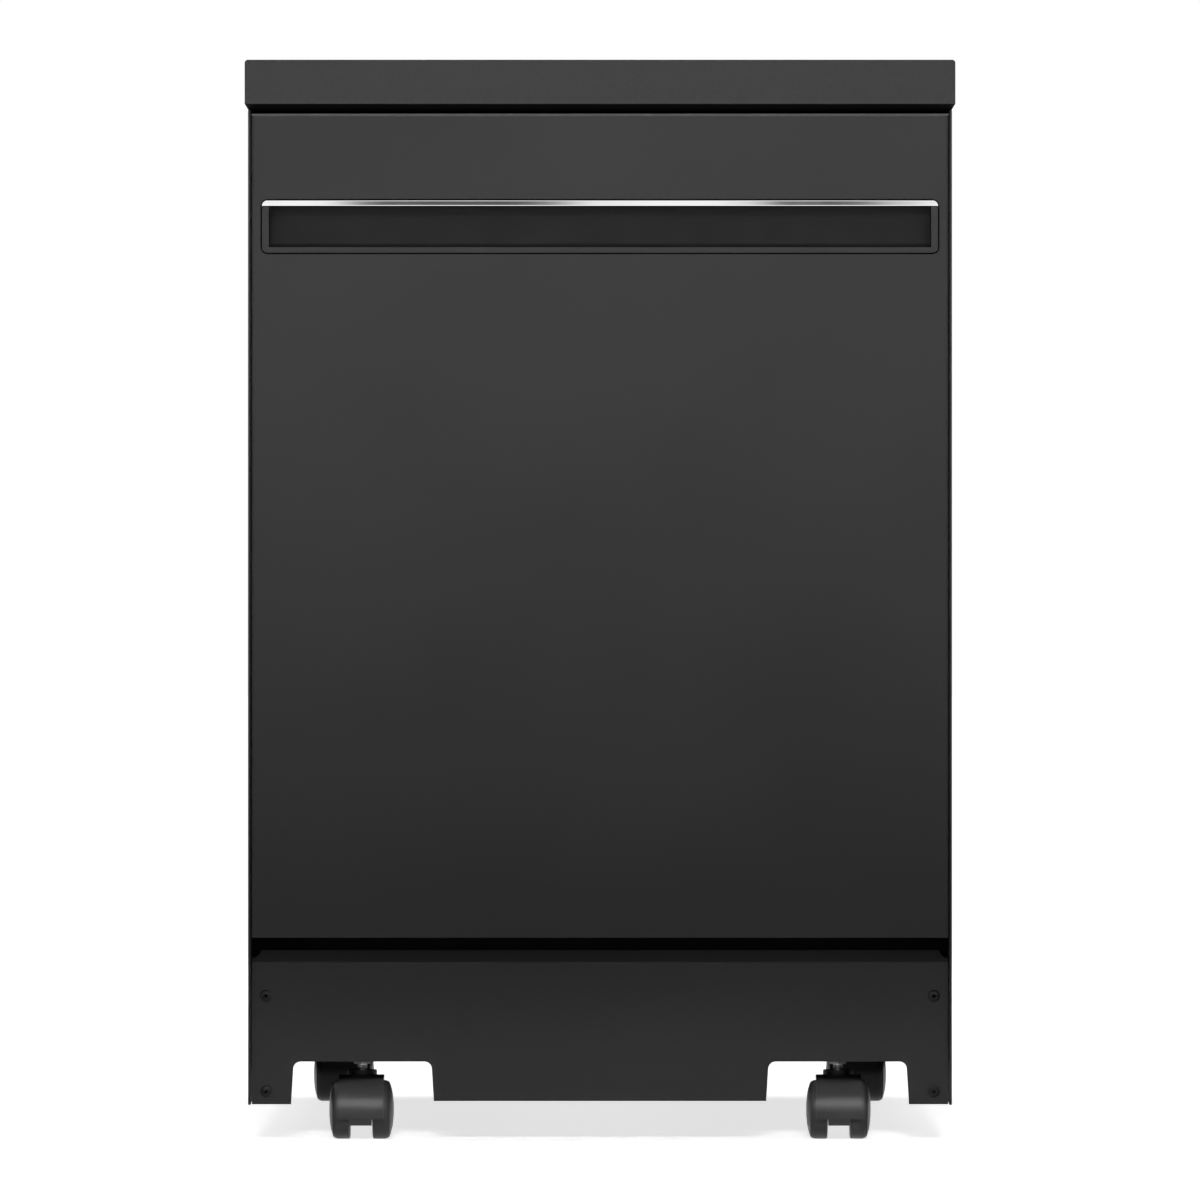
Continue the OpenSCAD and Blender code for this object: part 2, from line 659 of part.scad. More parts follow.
module tub_gasket() {
    d0 = tub_front - liner_y - seat;
    color(rubber_grey)
    difference() {
        union() {
            span_y(tub_front - 1, tub_front) polygon(tub_outline(-5.5));
            span_y(tub_front - d0, tub_front) polygon(tub_outline(-4.5));
        }
        span_y(tub_front - d0 - over, tub_front + over) polygon(tub_outline(-1));
    }
}

strike_z = tub_top + 7;
strike_reach = 16;
module door_strike() {
    foot_y = tub_front + 12;
    color(zinc)
    difference() {
        union() {
            block([-18, 18], [tub_front - strike_reach, foot_y], [strike_z, strike_z + 1.6]);
            block([-18, 18], [foot_y - 2, foot_y], [tub_top, strike_z + 1.6]);
            block([-24, 24], [foot_y - 2, foot_y + 24], [tub_top, tub_top + 2]);
        }
        // window that the door's catch drops into
        block([-9, 9], [tub_front - strike_reach + 4, tub_front - 4], [strike_z - over, strike_z + 2 + over]);
        both_sides() rod_z(12, foot_y + 13, [tub_top - over, tub_top + 2 + over], 2.5);
    }
}

// ---- hinge ----

hinge_out = liner_half_w - 6;              // outer face of a hinge arm
arm_t = 3;
arm_rise = 260;                            // how far an arm reaches up inside the door
module hinge_arms() {
    x0 = hinge_out - arm_t;
    color(zinc)
    both_sides() difference() {
        union() {
            rod_x([x0, hinge_out], hinge_y, hinge_z, 12);
            block([x0, hinge_out], [hinge_y - 11, hinge_y + 11], [hinge_z, hinge_z + arm_rise]);
            block([x0, hinge_out + 6 - liner_t], [hinge_y + 10, liner_y - liner_t - seat],
                  [hinge_z + 30, hinge_z + arm_rise - 10]);
        }
        rod_x([x0 - over, hinge_out + over], hinge_y, hinge_z, hinge_pin_r + running);
        for (z = [arm_rise * 0.27, arm_rise * 0.77])
            rod_x([x0 - over, hinge_out + over], hinge_y, hinge_z + z, 2);
    }
}

module hinge_brackets() {
    x1 = hinge_out - arm_t - seat;
    x0 = x1 - 3;
    // the arm runs back between the closed liner above and the open door's lower edge below
    over_door = hinge_z - 1.2;
    under_liner = hinge_z - 14;
    color(black_paint)
    both_sides() {
        difference() {
            union() {
                span_x(x0, x1) polygon(concat(
                    arc([hinge_y, hinge_z], 10, 40, 280),
                    [[hinge_y + 22, under_liner], [front_stem_y - 17, under_liner - 2],
                     [front_stem_y - 15, bracket_top], [front_stem_y + 15, bracket_top],
                     [front_stem_y + 15, bracket_top + 12], [front_stem_y + 6, over_door],
                     [hinge_y + 21.5, over_door]]));
                // foot that bolts to the base frame's upright
                block([x0, side_in - 2], [front_stem_y - 13, front_stem_y + 15],
                    [bracket_top, bracket_top + 3]);
            }
            rod_x([x0 - over, x1 + over], hinge_y, hinge_z, hinge_pin_r - 0.5);
        }
        rod_x([x0 - 3, hinge_out + 2], hinge_y, hinge_z, hinge_pin_r);
    }
}

// ---- door ----

module door_outer_panel() {
    color(black_paint)
    difference() {
        union() {
            span_z(door_bottom, panel_top) difference() {
                polygon(round_front(door_half_w, door_front, liner_y - liner_t - seat, door_edge_r));
                polygon(round_front(door_half_w - door_sheet_t, door_front + door_sheet_t, liner_y + over,
                                    door_edge_r - door_sheet_t));
            }
            block([-door_half_w + 2, door_half_w - 2], [door_front + door_sheet_t / 2, door_front + 9],
                  [door_bottom, door_bottom + door_sheet_t]);
        }
        translate([0, 0, (handle_top + handle_bottom) / 2])
            span_y(door_front - over, door_front + 2 * door_sheet_t)
                polygon(rounded(handle_w + 0.8, handle_h + 0.8, handle_r + 0.4));
    }
}

module handle_pocket() {
    zc = (handle_top + handle_bottom) / 2;
    wall = 2;
    y0 = door_front;
    back = y0 + handle_depth;
    // the pocket seen from its end: the grip rises behind the trim
    inside = concat(
        [[y0 - over, mouth_bottom], [back - wall - 6, mouth_bottom]],
        arc([back - wall - 6, mouth_bottom + 6], 6, -90, 0),
        arc([back - wall - 7, mouth_top + grip_rise - 7], 7, 0, 90),
        arc([y0 + 15, mouth_top + grip_rise - 5], 5, 90, 180),
        [[y0 + 10, mouth_top + 3], [y0 + 7, mouth_top], [y0 - over, mouth_top]]);
    color(black_plastic)
    difference() {
        union() {
            translate([0, 0, zc]) span_y(y0, y0 + 4) polygon(rounded(handle_w, handle_h, handle_r));
            block([-handle_w / 2 + 3, handle_w / 2 - 3], [y0 + 2, back],
                [mouth_bottom - wall, mouth_top + grip_rise + wall]);
        }
        span_x(-mouth_half_w, mouth_half_w) polygon(inside);
        // seat of the bright trim strip
        block([-handle_w / 2 - over, handle_w / 2 + over], [y0 - over, y0 + 2],
            [mouth_top, handle_top + over]);
    }
}
grip_rise = 12;

trim_edge_r = 0.7;
trim_front = door_front - 0.6;
module handle_trim() {
    zc = (handle_top + handle_bottom) / 2;
    color(chrome_finish)
    intersection() {
        translate([0, 0, zc]) span_y(trim_front, door_front + 2)
            polygon(rounded(handle_w, handle_h, handle_r));
        span_x(-handle_w / 2, handle_w / 2) polygon(concat(
            [[door_front + 2, mouth_top], [door_front + 2, handle_top]],
            arc([trim_front + trim_edge_r, handle_top - trim_edge_r], trim_edge_r, 90, 180, 4),
            arc([trim_front + trim_edge_r, mouth_top + trim_edge_r], trim_edge_r, 180, 270, 4)));
    }
}

module door_inner_panel() {
    rim = 42;
    z1 = panel_top;
    w = 2 * (liner_half_w - rim);
    h = z1 - hinge_z - 2 * rim - 10;
    zc = hinge_z + rim + h / 2;
    color(stainless)
    difference() {
        union() {
            block([-liner_half_w, liner_half_w], [liner_y - liner_t, liner_y], [hinge_z, z1]);
            translate([0, 0, zc]) span_y(recess_y - liner_t, liner_y)
                polygon(rounded(w + 2 * liner_t, h + 2 * liner_t, 30 + liner_t));
        }
        translate([0, 0, zc]) span_y(recess_y, liner_y + over) polygon(rounded(w, h, 30));
        // slot for the strike, cut-outs for the dispenser and the vent
        block([-latch_half_w, latch_half_w], [liner_y - 2 * liner_t, liner_y + over],
            [strike_z - 8, z1 + over]);
        block([dispenser_x - dispenser_w / 2 + 8, dispenser_x + dispenser_w / 2 - 8],
            [recess_y - 2 * liner_t, recess_y + over],
              [dispenser_z - dispenser_h / 2 + 8, dispenser_z + dispenser_h / 2 - 8]);
        rod_y(vent_x, [recess_y - 2 * liner_t, recess_y + over], vent_z, vent_r - 8);
    }
}

module door_bottom_seal() {
    half = tub_half - ledge_w - 14;
    color(rubber_grey)
    span_x(-half, half) polygon(concat(
        [[liner_y, hinge_z + 3], [liner_y, hinge_z + 17]],
        arc([liner_y + 0.6, hinge_z + 11], 2, 70, -70, 6), [[liner_y + 1, hinge_z + 4]]));
}

button_count = 5;
latch_depth = 20;
latch_half_w = 24;
button_y = door_front + 24;
function button_x(i) = -door_half_w + 70 + i * button_pitch;
lens_w = 150;
lens_d = 9;
lens_x = door_half_w - 55 - lens_w / 2;

module control_console() {
    y0 = door_front + door_sheet_t + seat;
    y1 = liner_y - liner_t - seat;
    half = door_half_w - door_sheet_t - seat;
    z_wall = door_top - console_wall;
    color(black_plastic)
    difference() {
        union() {
            span_z(console_z, door_top) polygon(round_front(half, y0, y1, door_edge_r - door_sheet_t));
            // lip that closes the seam over the door's sheet
            span_x(-door_half_w, door_half_w) polygon(concat(
                [[y1, door_top - lip_h], [y1, door_top]],
                arc([door_front + 1.2, door_top - 1.2], 1.2, 90, 180, 5), [[door_front, door_top - lip_h]]));
        }
        block([-half + console_wall, half - console_wall], [y0 + console_wall, y1 - console_wall],
              [console_z - over, z_wall]);
        for (i = [0:button_count - 1]) translate([button_x(i), button_y, 0])
            span_z(z_wall - over, door_top + over)
                polygon(rounded(button_w + 2 * seat, button_d + 2 * seat, 2.3));
        translate([lens_x, button_y, 0]) span_z(z_wall - over, door_top + over)
            polygon(rounded(lens_w, lens_d, 2));
        // mouth of the latch in the back wall
        block([-latch_half_w, latch_half_w], [y1 - console_wall - over, y1 + over],
            [strike_z - 8, door_top - lip_h]);
    }
}

module indicator_lens() color([0.16, 0.16, 0.18])
    translate([lens_x, button_y, 0]) span_z(door_top - console_wall, door_top + 0.2)
        polygon(rounded(lens_w, lens_d, 2));

module button(i) {
    z_wall = door_top - console_wall;
    color([0.12, 0.12, 0.13])
    translate([button_x(i), button_y, 0]) {
        span_z(z_wall - 2, door_top + button_proud) polygon(rounded(button_w, button_d, 2));
        // collar that keeps the button in the console
        span_z(z_wall - 2 - seat, z_wall - seat) polygon(rounded(button_w + 3, button_d + 3, 2));
    }
}
module button_1() button(0);
module button_2() button(1);
module button_3() button(2);
module button_4() button(3);
module button_5() button(4);

module latch_housing() {
    y1 = liner_y - liner_t - seat - console_wall;
    z0 = console_z + 2;
    z1 = door_top - console_wall;
    color(black_plastic)
    difference() {
        block([-latch_half_w, latch_half_w], [y1 - latch_depth, y1], [z0, z1]);
        // pocket that takes the strike's tongue
        block([-latch_half_w + 3, latch_half_w - 3], [y1 - latch_depth + 3, y1 + over],
            [strike_z - 6, z1 + over]);
    }
    // catch that drops into the strike's window
    color(zinc) block([-7, 7], [liner_y - 9, liner_y - 5], [strike_z - 6.5, strike_z - 1]);
}

dispenser_x = -60;
dispenser_w = 190;
dispenser_h = 104;
dispenser_z = (lower_rack_z + lower_rack_h + upper_rack_z) / 2 - 4;
dispenser_front = liner_y + 3;
lid_w = 84;
lid_h = 78;
lid_offset = 38;
lid_x = dispenser_x - lid_offset;
lid_t = 3;
lid_hinge_x = lid_x - lid_w / 2 - 2;
lid_hinge_y = dispenser_front + 3;
cap_offset = 54;
cap_x = dispenser_x + cap_offset;
cap_r = 22;

module dispenser_body() {
    zc = dispenser_z;
    color(grey_plastic)
    difference() {
        union() {
            translate([dispenser_x, 0, zc]) span_y(recess_y, dispenser_front)
                polygon(rounded(dispenser_w, dispenser_h, 12));
            translate([dispenser_x, 0, zc]) span_y(recess_y - 12, recess_y + over)
                polygon(rounded(dispenser_w - 18, dispenser_h - 18, 10));
            // ears for the lid's pin
            for (s = [-1, 1]) let (z = zc + s * (lid_h / 2 + 3.2)) {
                rod_z(lid_hinge_x, lid_hinge_y, [z - 2.6, z + 2.6], 3, 24);
                block([lid_hinge_x - 3, lid_hinge_x + 3], [dispenser_front - 1, lid_hinge_y],
                    [z - 2.6, z + 2.6]);
            }
        }
        // detergent cup
        translate([lid_x + 4, 0, zc]) span_y(recess_y - 9, dispenser_front + over)
            polygon(rounded(lid_w - 18, lid_h - 12, 8));
        // well around the rinse aid cap
        rod_y(cap_x, [dispenser_front - 5, dispenser_front + over], zc, cap_r + 2);
        rod_y(cap_x, [recess_y - 6, dispenser_front + over], zc, cap_stem_r + running);
        rod_z(lid_hinge_x, lid_hinge_y, [zc - dispenser_h, zc + dispenser_h], 1.2 + running, 24);
    }
}
cap_stem_r = 12;

module dispenser_lid() {
    zc = dispenser_z;
    y0 = dispenser_front + 0.5;
    color(grey_plastic)
    union() {
        translate([lid_x + 2, 0, zc]) span_y(y0, y0 + lid_t) polygon(rounded(lid_w, lid_h, 6));
        rod_z(lid_hinge_x, lid_hinge_y, [zc - lid_h / 2, zc + lid_h / 2], 2.6, 24);
        rod_z(lid_hinge_x, lid_hinge_y, [zc - lid_h / 2 - 6, zc + lid_h / 2 + 6], 1.2, 24);
        block([lid_hinge_x, lid_hinge_x + 12], [y0 + 0.2, y0 + lid_t - 0.2],
            [zc - lid_h / 2 + 4, zc + lid_h / 2 - 4]);
        // thumb rib
        block([lid_x + lid_w / 2 - 8, lid_x + lid_w / 2 - 4], [y0 + lid_t - 0.5, y0 + lid_t + 4],
            [zc - 18, zc + 18]);
    }
}

module rinse_aid_cap() {
    zc = dispenser_z;
    y0 = dispenser_front - 5 + seat;
    color([0.3, 0.32, 0.35])
    union() {
        rod_y(cap_x, [y0, y0 + 6], zc, cap_r);
        rod_y(cap_x, [y0 - 10, y0 + 1], zc, cap_stem_r);
        translate([cap_x, 0, zc]) span_y(y0 + 5, y0 + 12) polygon(rounded(2 * cap_r - 6, 7, 3));
    }
}

vent_x = 150;
vent_rise = 330;                           // above the hinge axis
vent_z = hinge_z + vent_rise;
vent_r = 42;
module vent_cover() {
    throat = vent_r - 13;
    color(grey_plastic)
    difference() {
        union() {
            rod_y(vent_x, [recess_y, recess_y + 9], vent_z, vent_r);
            rod_y(vent_x, [recess_y - 10, recess_y + over], vent_z, vent_r - 9);
        }
        rod_y(vent_x, [recess_y - 10 - over, recess_y + 6], vent_z, throat);
        for (i = [-3:3]) let (z = i * throat * 0.31)
            translate([vent_x, 0, vent_z + z]) span_y(recess_y, recess_y + 9 + over)
                polygon(rounded(2 * sqrt(throat * throat - z * z) - 6, 4, 1.9));
    }
}

// ---- wash system ----

sump_depth = 66;
sump_top = floor_z - tub_t;
sump_wall = 4;
pump_port_z = sump_top - sump_depth + 20;
pump_port_r = 16;
drain_port_r = 12;
port_reach = 30;

module sump() {
    y = tub_mid_y;
    color(grey_plastic)
    difference() {
        union() {
            rod_z(0, y, [sump_top - sump_depth, sump_top], sump_r + sump_wall);
            rod_z(0, y, [sump_top - 3, sump_top], sump_r + 16);
            // ports for the wash pump, the drain pump and the pipe to the top
            rod_x([-sump_r - port_reach, 0], y, pump_port_z, pump_port_r);
            rod_x([0, sump_r + port_reach], y, pump_port_z, drain_port_r);
            rod_y(0, [y, feed_y], sump_top - 18, pipe_r + 2);
            rod_z(0, feed_y, [sump_top - 30, sump_top], pipe_r + 3);
        }
        difference() {
            rod_z(0, y, [sump_top - sump_depth + 4, sump_top + over], sump_r);
            // cross ribs that carry the hub and the filter
            for (a = [45, 135]) translate([0, y, 0]) rotate([0, 0, a])
                block([-sump_r - 1, sump_r + 1], [-3, 3], [sump_top - sump_depth, sump_top - 6]);
        }
        rod_x([-sump_r - port_reach - over, -sump_r + 5], y, pump_port_z, pump_port_r - 3);
        rod_x([sump_r - 5, sump_r + port_reach + over], y, pump_port_z, drain_port_r - 3);
    }
    // hub that the lower spray arm turns on
    color(grey_plastic) {
        rod_z(0, y, [sump_top - sump_depth + 2, arm_z - 4 - seat], 15);
        rod_z(0, y, [sump_top - 10, arm_z + blade_t + 8], hub_r);
        rod_z(0, y, [arm_z + blade_t + 4 + seat, arm_z + blade_t + 8], hub_r + 5);
    }
}

module filter_basket() {
    y = tub_mid_y;
    z0 = sump_top - 6;
    z1 = floor_z + 1.5;
    color([0.45, 0.46, 0.47])
    difference() {
        union() {
            rod_z(0, y, [z1 - 3, z1], sump_r - 0.5);
            rod_z(0, y, [z0, z1 - 1], 46);
        }
        rod_z(0, y, [z0 - over, z1 + over], 15.5);
        rod_z(0, y, [z0 - over, z1 - 3], 43);
        for (a = [0:20:340]) translate([0, y, 0]) rotate([0, 0, a])
            rod_z(57, 0, [z1 - 3 - over, z1 + over], 4.5, 24);
    }
}

module heating_element() {
    ring_end_y = tub_mid_y + heater_r * cos(heater_gap_a / 2);
    color([0.4, 0.38, 0.37])
    translate([0, tub_mid_y, heater_z]) rotate([0, 0, 90 + heater_gap_a / 2])
        rotate_extrude(angle = 360 - heater_gap_a, $fn = 96) translate([heater_r, 0])
            circle(heater_d / 2, $fn = 24);
    color([0.4, 0.38, 0.37]) both_sides() {
        // from each end of the ring straight back, then down through the floor
        rod_y(heater_leg_x, [ring_end_y - 1, heater_leg_y], heater_z, heater_d / 2 - 0.1, 24);
        rod_z(heater_leg_x, heater_leg_y, [floor_z - 22, heater_z + heater_d / 2], heater_d / 2, 24);
    }
}

// Pipe from the tub's floor up the back wall to the roof, with a port for the upper arm
module spray_manifold() {
    y = manifold_y;
    run_h = 12;
    color(grey_plastic)
    difference() {
        union() {
            rod_z(0, feed_y, [sump_top, floor_z + run_h], pipe_r - 0.5);
            block([-pipe_r - 2, pipe_r + 2], [feed_y - pipe_r - 2, y], [floor_z, floor_z + run_h]);
            rod_z(0, y, [floor_z, roof_pipe_z], pipe_r);
            rod_y(0, [y - 22, y], feed_tube_z, pipe_r + 2);
            rod_y(0, [tub_mid_y - 12, y], roof_pipe_z, pipe_r - 1);
            // clips that hold the pipe to the tub's back wall
            for (z = [ledge_z + 60, feed_tube_z + 90]) block([-16, 16], [y, tub_back - tub_t], [z, z + 14]);
        }
        rod_y(0, [y - 22 - over, y - 6], feed_tube_z, pipe_r);
    }
}

module top_nozzle() {
    z1 = roof_pipe_z - pipe_r + 1;
    color(grey_plastic)
    translate([0, tub_mid_y, 0]) rotate_extrude($fn = round_fn)
        polygon([[0, z1 - 13], [24, z1 - 13], [30, z1 - 9], [26, z1 - 7], [12, z1 - 4], [9, z1], [0, z1]]);
}

// A spray arm about its own axis: hollow blade, raised hub and a row of spray holes on each half
module spray_arm(length, z, bore_r) {
    tip = blade_t * 2;
    hub = 24;
    difference() {
        union() {
            span_z(z, z + blade_t) polygon(concat(
                arc([length / 2 - tip, 0], tip, -80, 80), arc([0, 0], hub + 12, 55, 125, 6),
                arc([-length / 2 + tip, 0], tip, 100, 260), arc([0, 0], hub + 12, 235, 305, 6)));
            rod_z(0, 0, [z - 4, z + blade_t + 4], hub);
            // rib pressed along the blade
            for (s = [-1, 1]) span_z(z + blade_t / 2, z + blade_t + 2)
                polygon([for (v = rounded(length / 2 - hub - 2 * tip + 20, 7, 3))
                    v + [s * (length / 4 + 4), -s * 7]]);
        }
        rod_z(0, 0, [z - 4 - over, z + blade_t + 4 + over], bore_r + running);
        for (s = [-1, 1], i = [0:4]) let (x = hub + 24 + i * (length / 2 - hub - 24 - tip) / 4)
            rod_z(s * x, s * 7, [z + blade_t / 2, z + blade_t + over], 2, 24);
    }
}

module lower_spray_arm() color(grey_plastic) translate([0, tub_mid_y, 0]) spray_arm(lower_arm_l, arm_z, hub_r);
module upper_spray_arm() color(grey_plastic) translate([0, tub_mid_y, 0])
    spray_arm(upper_arm_l, upper_arm_z, upper_hub_r);

// Tube under the upper rack that meets the port on the back wall and carries the upper arm
module upper_feed_tube() {
    hub_low = upper_arm_z - 4 - seat - 4;
    color(grey_plastic) {
        rod_y(0, [tub_mid_y - 14, manifold_y - 22 - seat], feed_tube_z, pipe_r);
        rod_z(0, tub_mid_y, [hub_low, feed_tube_z], upper_hub_r);
        rod_z(0, tub_mid_y, [hub_low, hub_low + 4], upper_hub_r + 8);
    }
}

pump_x = -sump_r - port_reach + 12;        // mouth of the wash pump's socket
motor_r = 38;
motor_l = 54;
motor_front = pump_x - 38;
motor_back = motor_front - motor_l;
bearing_r = 24;
module wash_pump() {
    y = tub_mid_y;
    z = pump_port_z;
    color([0.3, 0.3, 0.32])
    difference() {
        union() {
            rod_x([motor_front - 2, pump_x], y, z, pump_port_r + 4);
            rod_x([motor_back, motor_front], y, z, motor_r);
            rod_x([motor_back - 12, motor_back + 2], y, z, bearing_r);
            // cooling fins round the motor
            for (a = [0:30:330]) translate([0, y, z]) rotate([a, 0, 0])
                block([motor_back + 4, motor_front - 4], [motor_r - 2, motor_r + 4], [-1.5, 1.5]);
        }
        rod_x([pump_x - 12, pump_x + over], y, z, pump_port_r + 0.1);
    }
}

module drain_pump() {
    x0 = sump_r + port_reach - 10;
    y = tub_mid_y;
    z = pump_port_z;
    color([0.3, 0.3, 0.32])
    difference() {
        union() {
            rod_x([x0, x0 + 32], y, z, drain_port_r + 3.5);
            rod_x([x0 + 30, x0 + 66], y, z, 27);
            rod_y(x0 + 22, [y, y + 50], z - 4, 8);
            rod_y(x0 + 22, [y + 38, y + 42], z - 4, 9.5);
        }
        rod_x([x0 - over, x0 + 10], y, z, drain_port_r + 0.1);
    }
}

module inlet_valve() {
    y0 = front_stem_y + rail_w / 2 + 20;
    x0 = -side_in + 4;
    z0 = rail_z + rail_h;
    color(white_plastic) {
        block([x0, x0 + 46], [y0, y0 + 40], [z0, z0 + 34]);
        rod_y(x0 + 25, [y0 - 24, y0 + 1], z0 + 18, 10);
        rod_y(x0 + 25, [y0 - 18, y0 - 14], z0 + 18, 12);
        rod_z(x0 + 12, y0 + 20, [z0 + 33, z0 + 56], 7);
        rod_z(x0 + 32, y0 + 20, [z0 + 33, z0 + 48], 12);
    }
}

module float_cap() color(grey_plastic) {
    translate([float_x, float_y, 0]) rotate_extrude($fn = round_fn)
        polygon(concat([[0, floor_z + seat], [24, floor_z + seat]], arc([16, floor_z + 18], 8, 0, 80, 5),
            [[0, floor_z + 27]]));
    rod_z(float_x, float_y, [floor_z - 28, floor_z + 6], 7 - running);
}

// ---- racks ----

// One straight coated wire between two points
module wire(p, q, d = wire_d) {
    v = q - p;
    l = norm(v);
    translate(p) rotate([0, acos(v[2] / l), atan2(v[1], v[0])]) cylinder(d = d, h = l, $fn = 24);
}

// Quarter bend in a coated wire, drawn in the plane across the origin, from angle a to a + 90
module bend(a) rotate([0, 0, a]) rotate_extrude(angle = 90, $fn = 48) translate([rack_bend, 0])
    circle(d = wire_d, $fn = 24);

// Places of n wires spread over a half width, drawn in so that they clear the corner bends
function wire_places(half, n) = [for (i = [0:n - 1]) (2 * i / (n - 1) - 1) * (half - rack_bend - wire_d)];

// Floor of a rack: both sets of wires bend up at their ends, and the second set lies under the first
module rack_floor(half, y0, y1, z) {
    b = rack_bend;
    sink = wire_d * 0.7;
    mid = (y0 + y1) / 2;
    for (x = wire_places(half, long_wires)) {
        wire([x, y0 + b, z], [x, y1 - b, z]);
        translate([x, y0 + b, z + b]) rotate([90, 0, 90]) bend(180);
        translate([x, y1 - b, z + b]) rotate([90, 0, 90]) bend(270);
    }
    for (v = wire_places((y1 - y0) / 2, cross_wires)) {
        wire([-half + b, mid + v, z - sink], [half - b, mid + v, z - sink]);
        translate([-half + b, mid + v, z - sink + b]) rotate([90, 0, 0]) bend(180);
        translate([half - b, mid + v, z - sink + b]) rotate([90, 0, 0]) bend(270);
    }
}

// One wall of a rack, facing -Y: uprights that carry the floor's wires on, a rail half way and a rim on top
module rack_wall(places, half, foot, h) {
    low = foot + rack_bend + 0.2;
    run = [0, -rack_lean * (1 - (rack_bend + 0.2) / h), foot + h - low];
    for (x = places) wire([x, 0, low], [x, 0, low] + run);
    wire([-half, run[1], foot + h], [half, run[1], foot + h], rim_d);
    wire([-half, run[1] * 0.45 - wire_d * 0.6, low + run[2] * 0.45],
         [half, run[1] * 0.45 - wire_d * 0.6, low + run[2] * 0.45]);
}

module basket_rack(half, y0, y1, z, h) {
    mid = (y0 + y1) / 2;
    depth = (y1 - y0) / 2;
    sink = wire_d * 0.7;
    corner = 1.5 * rim_d;                  // each wall's rim stops short of its neighbour's
    rack_floor(half, y0, y1, z);
    for (s = [0, 1]) translate([0, mid, 0]) rotate([0, 0, 180 * s]) translate([0, -depth, 0])
        rack_wall(wire_places(half, long_wires), half - 1, z, h);
    for (s = [-1, 1]) translate([0, mid, 0]) rotate([0, 0, 90 * s]) translate([0, -half, 0])
        rack_wall(wire_places(depth, cross_wires), depth + rack_lean - corner, z - sink,
            h + sink - rim_d * 1.1);
}

// A row of tines on its own base wire, laid over the floor wires
module tine_row(p, q, n, h, tip) {
    step = (q - p) / (n - 1);
    end = step / norm(step) * 5;
    wire(p - end, q + end);
    for (i = [0:n - 1]) wire(p + i * step - [0, 0, 0.3], p + i * step + tip + [0, 0, h], wire_d - 0.4);
}

upper_rows = 4;
upper_row_inset = 117;     // from the rack's side to its outer row of cup tines
upper_row_x = upper_rack_half - upper_row_inset;
module upper_rack() {
    z = upper_rack_z + wire_d * 0.3 + 0.2;  // the rows lie between the long wires, on the cross wires
    color(rack_coat) {
        basket_rack(upper_rack_half, upper_rack_front, upper_rack_back, upper_rack_z, upper_rack_h);
        for (i = [0:upper_rows - 1]) let (x = (2 * i / (upper_rows - 1) - 1) * upper_row_x)
            tine_row([x, upper_rack_front + 40, z], [x, upper_rack_back - 40, z], 8, cup_tine_h,
                [x > 0 ? 8 : -8, 0, 0]);
    }
}

// Rails that ride on the tub's rollers, hung from the upper rack's rims
module upper_rack_rails() {
    r = roller_r + 0.4;
    x0 = roller_x - 3;
    t = 1.2;
    rim_x = upper_rack_half + rack_lean;
    color(stainless) both_sides() {
        span_y(rail_front, rail_back) difference() {
            translate([x0, roller_z - r - t]) square([roller_w + 4, 2 * r + 2 * t]);
            translate([x0 + t, roller_z - r]) square([roller_w + 4, 2 * r]);
        }
        // stops folded in at both ends of the rail
        for (y = [rail_front, rail_back - t])
            block([x0, x0 + roller_w + 4], [y, y + t], [roller_z - r - t, roller_z + r + t]);
        for (y = [upper_rack_front + 50, upper_rack_back - 80]) {
            block([x0 - 1.8, x0 + t / 2], [y, y + 30], [roller_z - r - t, rim_z + rim_d / 2 + 2 * seat]);
            block([rim_x - 6, x0 + t / 2], [y, y + 30],
                [rim_z + rim_d / 2 + seat - rim_d * 0.5, rim_z + rim_d / 2 + 2]);
        }
    }
}

module rollers(y) color(white_plastic) both_sides() difference() {
    rod_x([roller_x, roller_x + roller_w], y, roller_z, roller_r);
    rod_x([roller_x - over, roller_x + roller_w + over], y, roller_z, stud_r + running);
}
module rack_rollers_front() rollers(roller_front_y);
module rack_rollers_rear() rollers(roller_rear_y);

lower_rows = 8;
basket_half_w = 36;
basket_len = 270;
basket_h = 105;
basket_x = lower_rack_half - basket_half_w - 12;
basket_y = lower_rack_y;
basket_z = lower_rack_z + wire_d / 2 + seat;
axle_pin_r = 4;

module lower_rack() {
    z = lower_rack_z + wire_d + 0.2;
    x1 = basket_x - basket_half_w - 20;
    web_x = lower_wheel_x - lower_wheel_w - seat;
    clip_top = lower_rack_z + 30;
    upright = lower_rack_half + rack_lean * 0.11;   // where a side wall's upright passes through a clip
    color(rack_coat) {
        basket_rack(lower_rack_half, lower_rack_front, lower_rack_back, lower_rack_z, lower_rack_h);
        for (i = [0:lower_rows - 1]) let (y = lower_rack_y + (i - (lower_rows - 1) / 2) * tine_row_pitch)
            tine_row([-lower_rack_half + 34, y, z], [x1, y, z], 8, tine_h, [0, 8, 0]);
    }
    // carriers that clip round an upright of each side wall, each with its wheel's axle
    color(grey_plastic) both_sides() for (y = [lower_wheel_front_y, lower_wheel_rear_y]) {
        rod_x([web_x - 4, web_x + lower_wheel_w + 2 * seat + 2], y, lower_wheel_z, axle_pin_r);
        rod_x([web_x + lower_wheel_w + 2 * seat, web_x + lower_wheel_w + 2 * seat + 2], y, lower_wheel_z,
            axle_pin_r + 2);
        block([web_x - 4, web_x], [y - 11, y + 11], [lower_wheel_z - 6, clip_top]);
        difference() {
            block([upright - 7, web_x - 1], [y - 11, y + 11], [lower_rack_z + 9, clip_top]);
            block([upright - wire_d * 0.85, upright + wire_d * 0.85], [y - wire_d * 0.6, y + wire_d * 0.6],
                  [lower_rack_z, clip_top + over]);
        }
    }
}

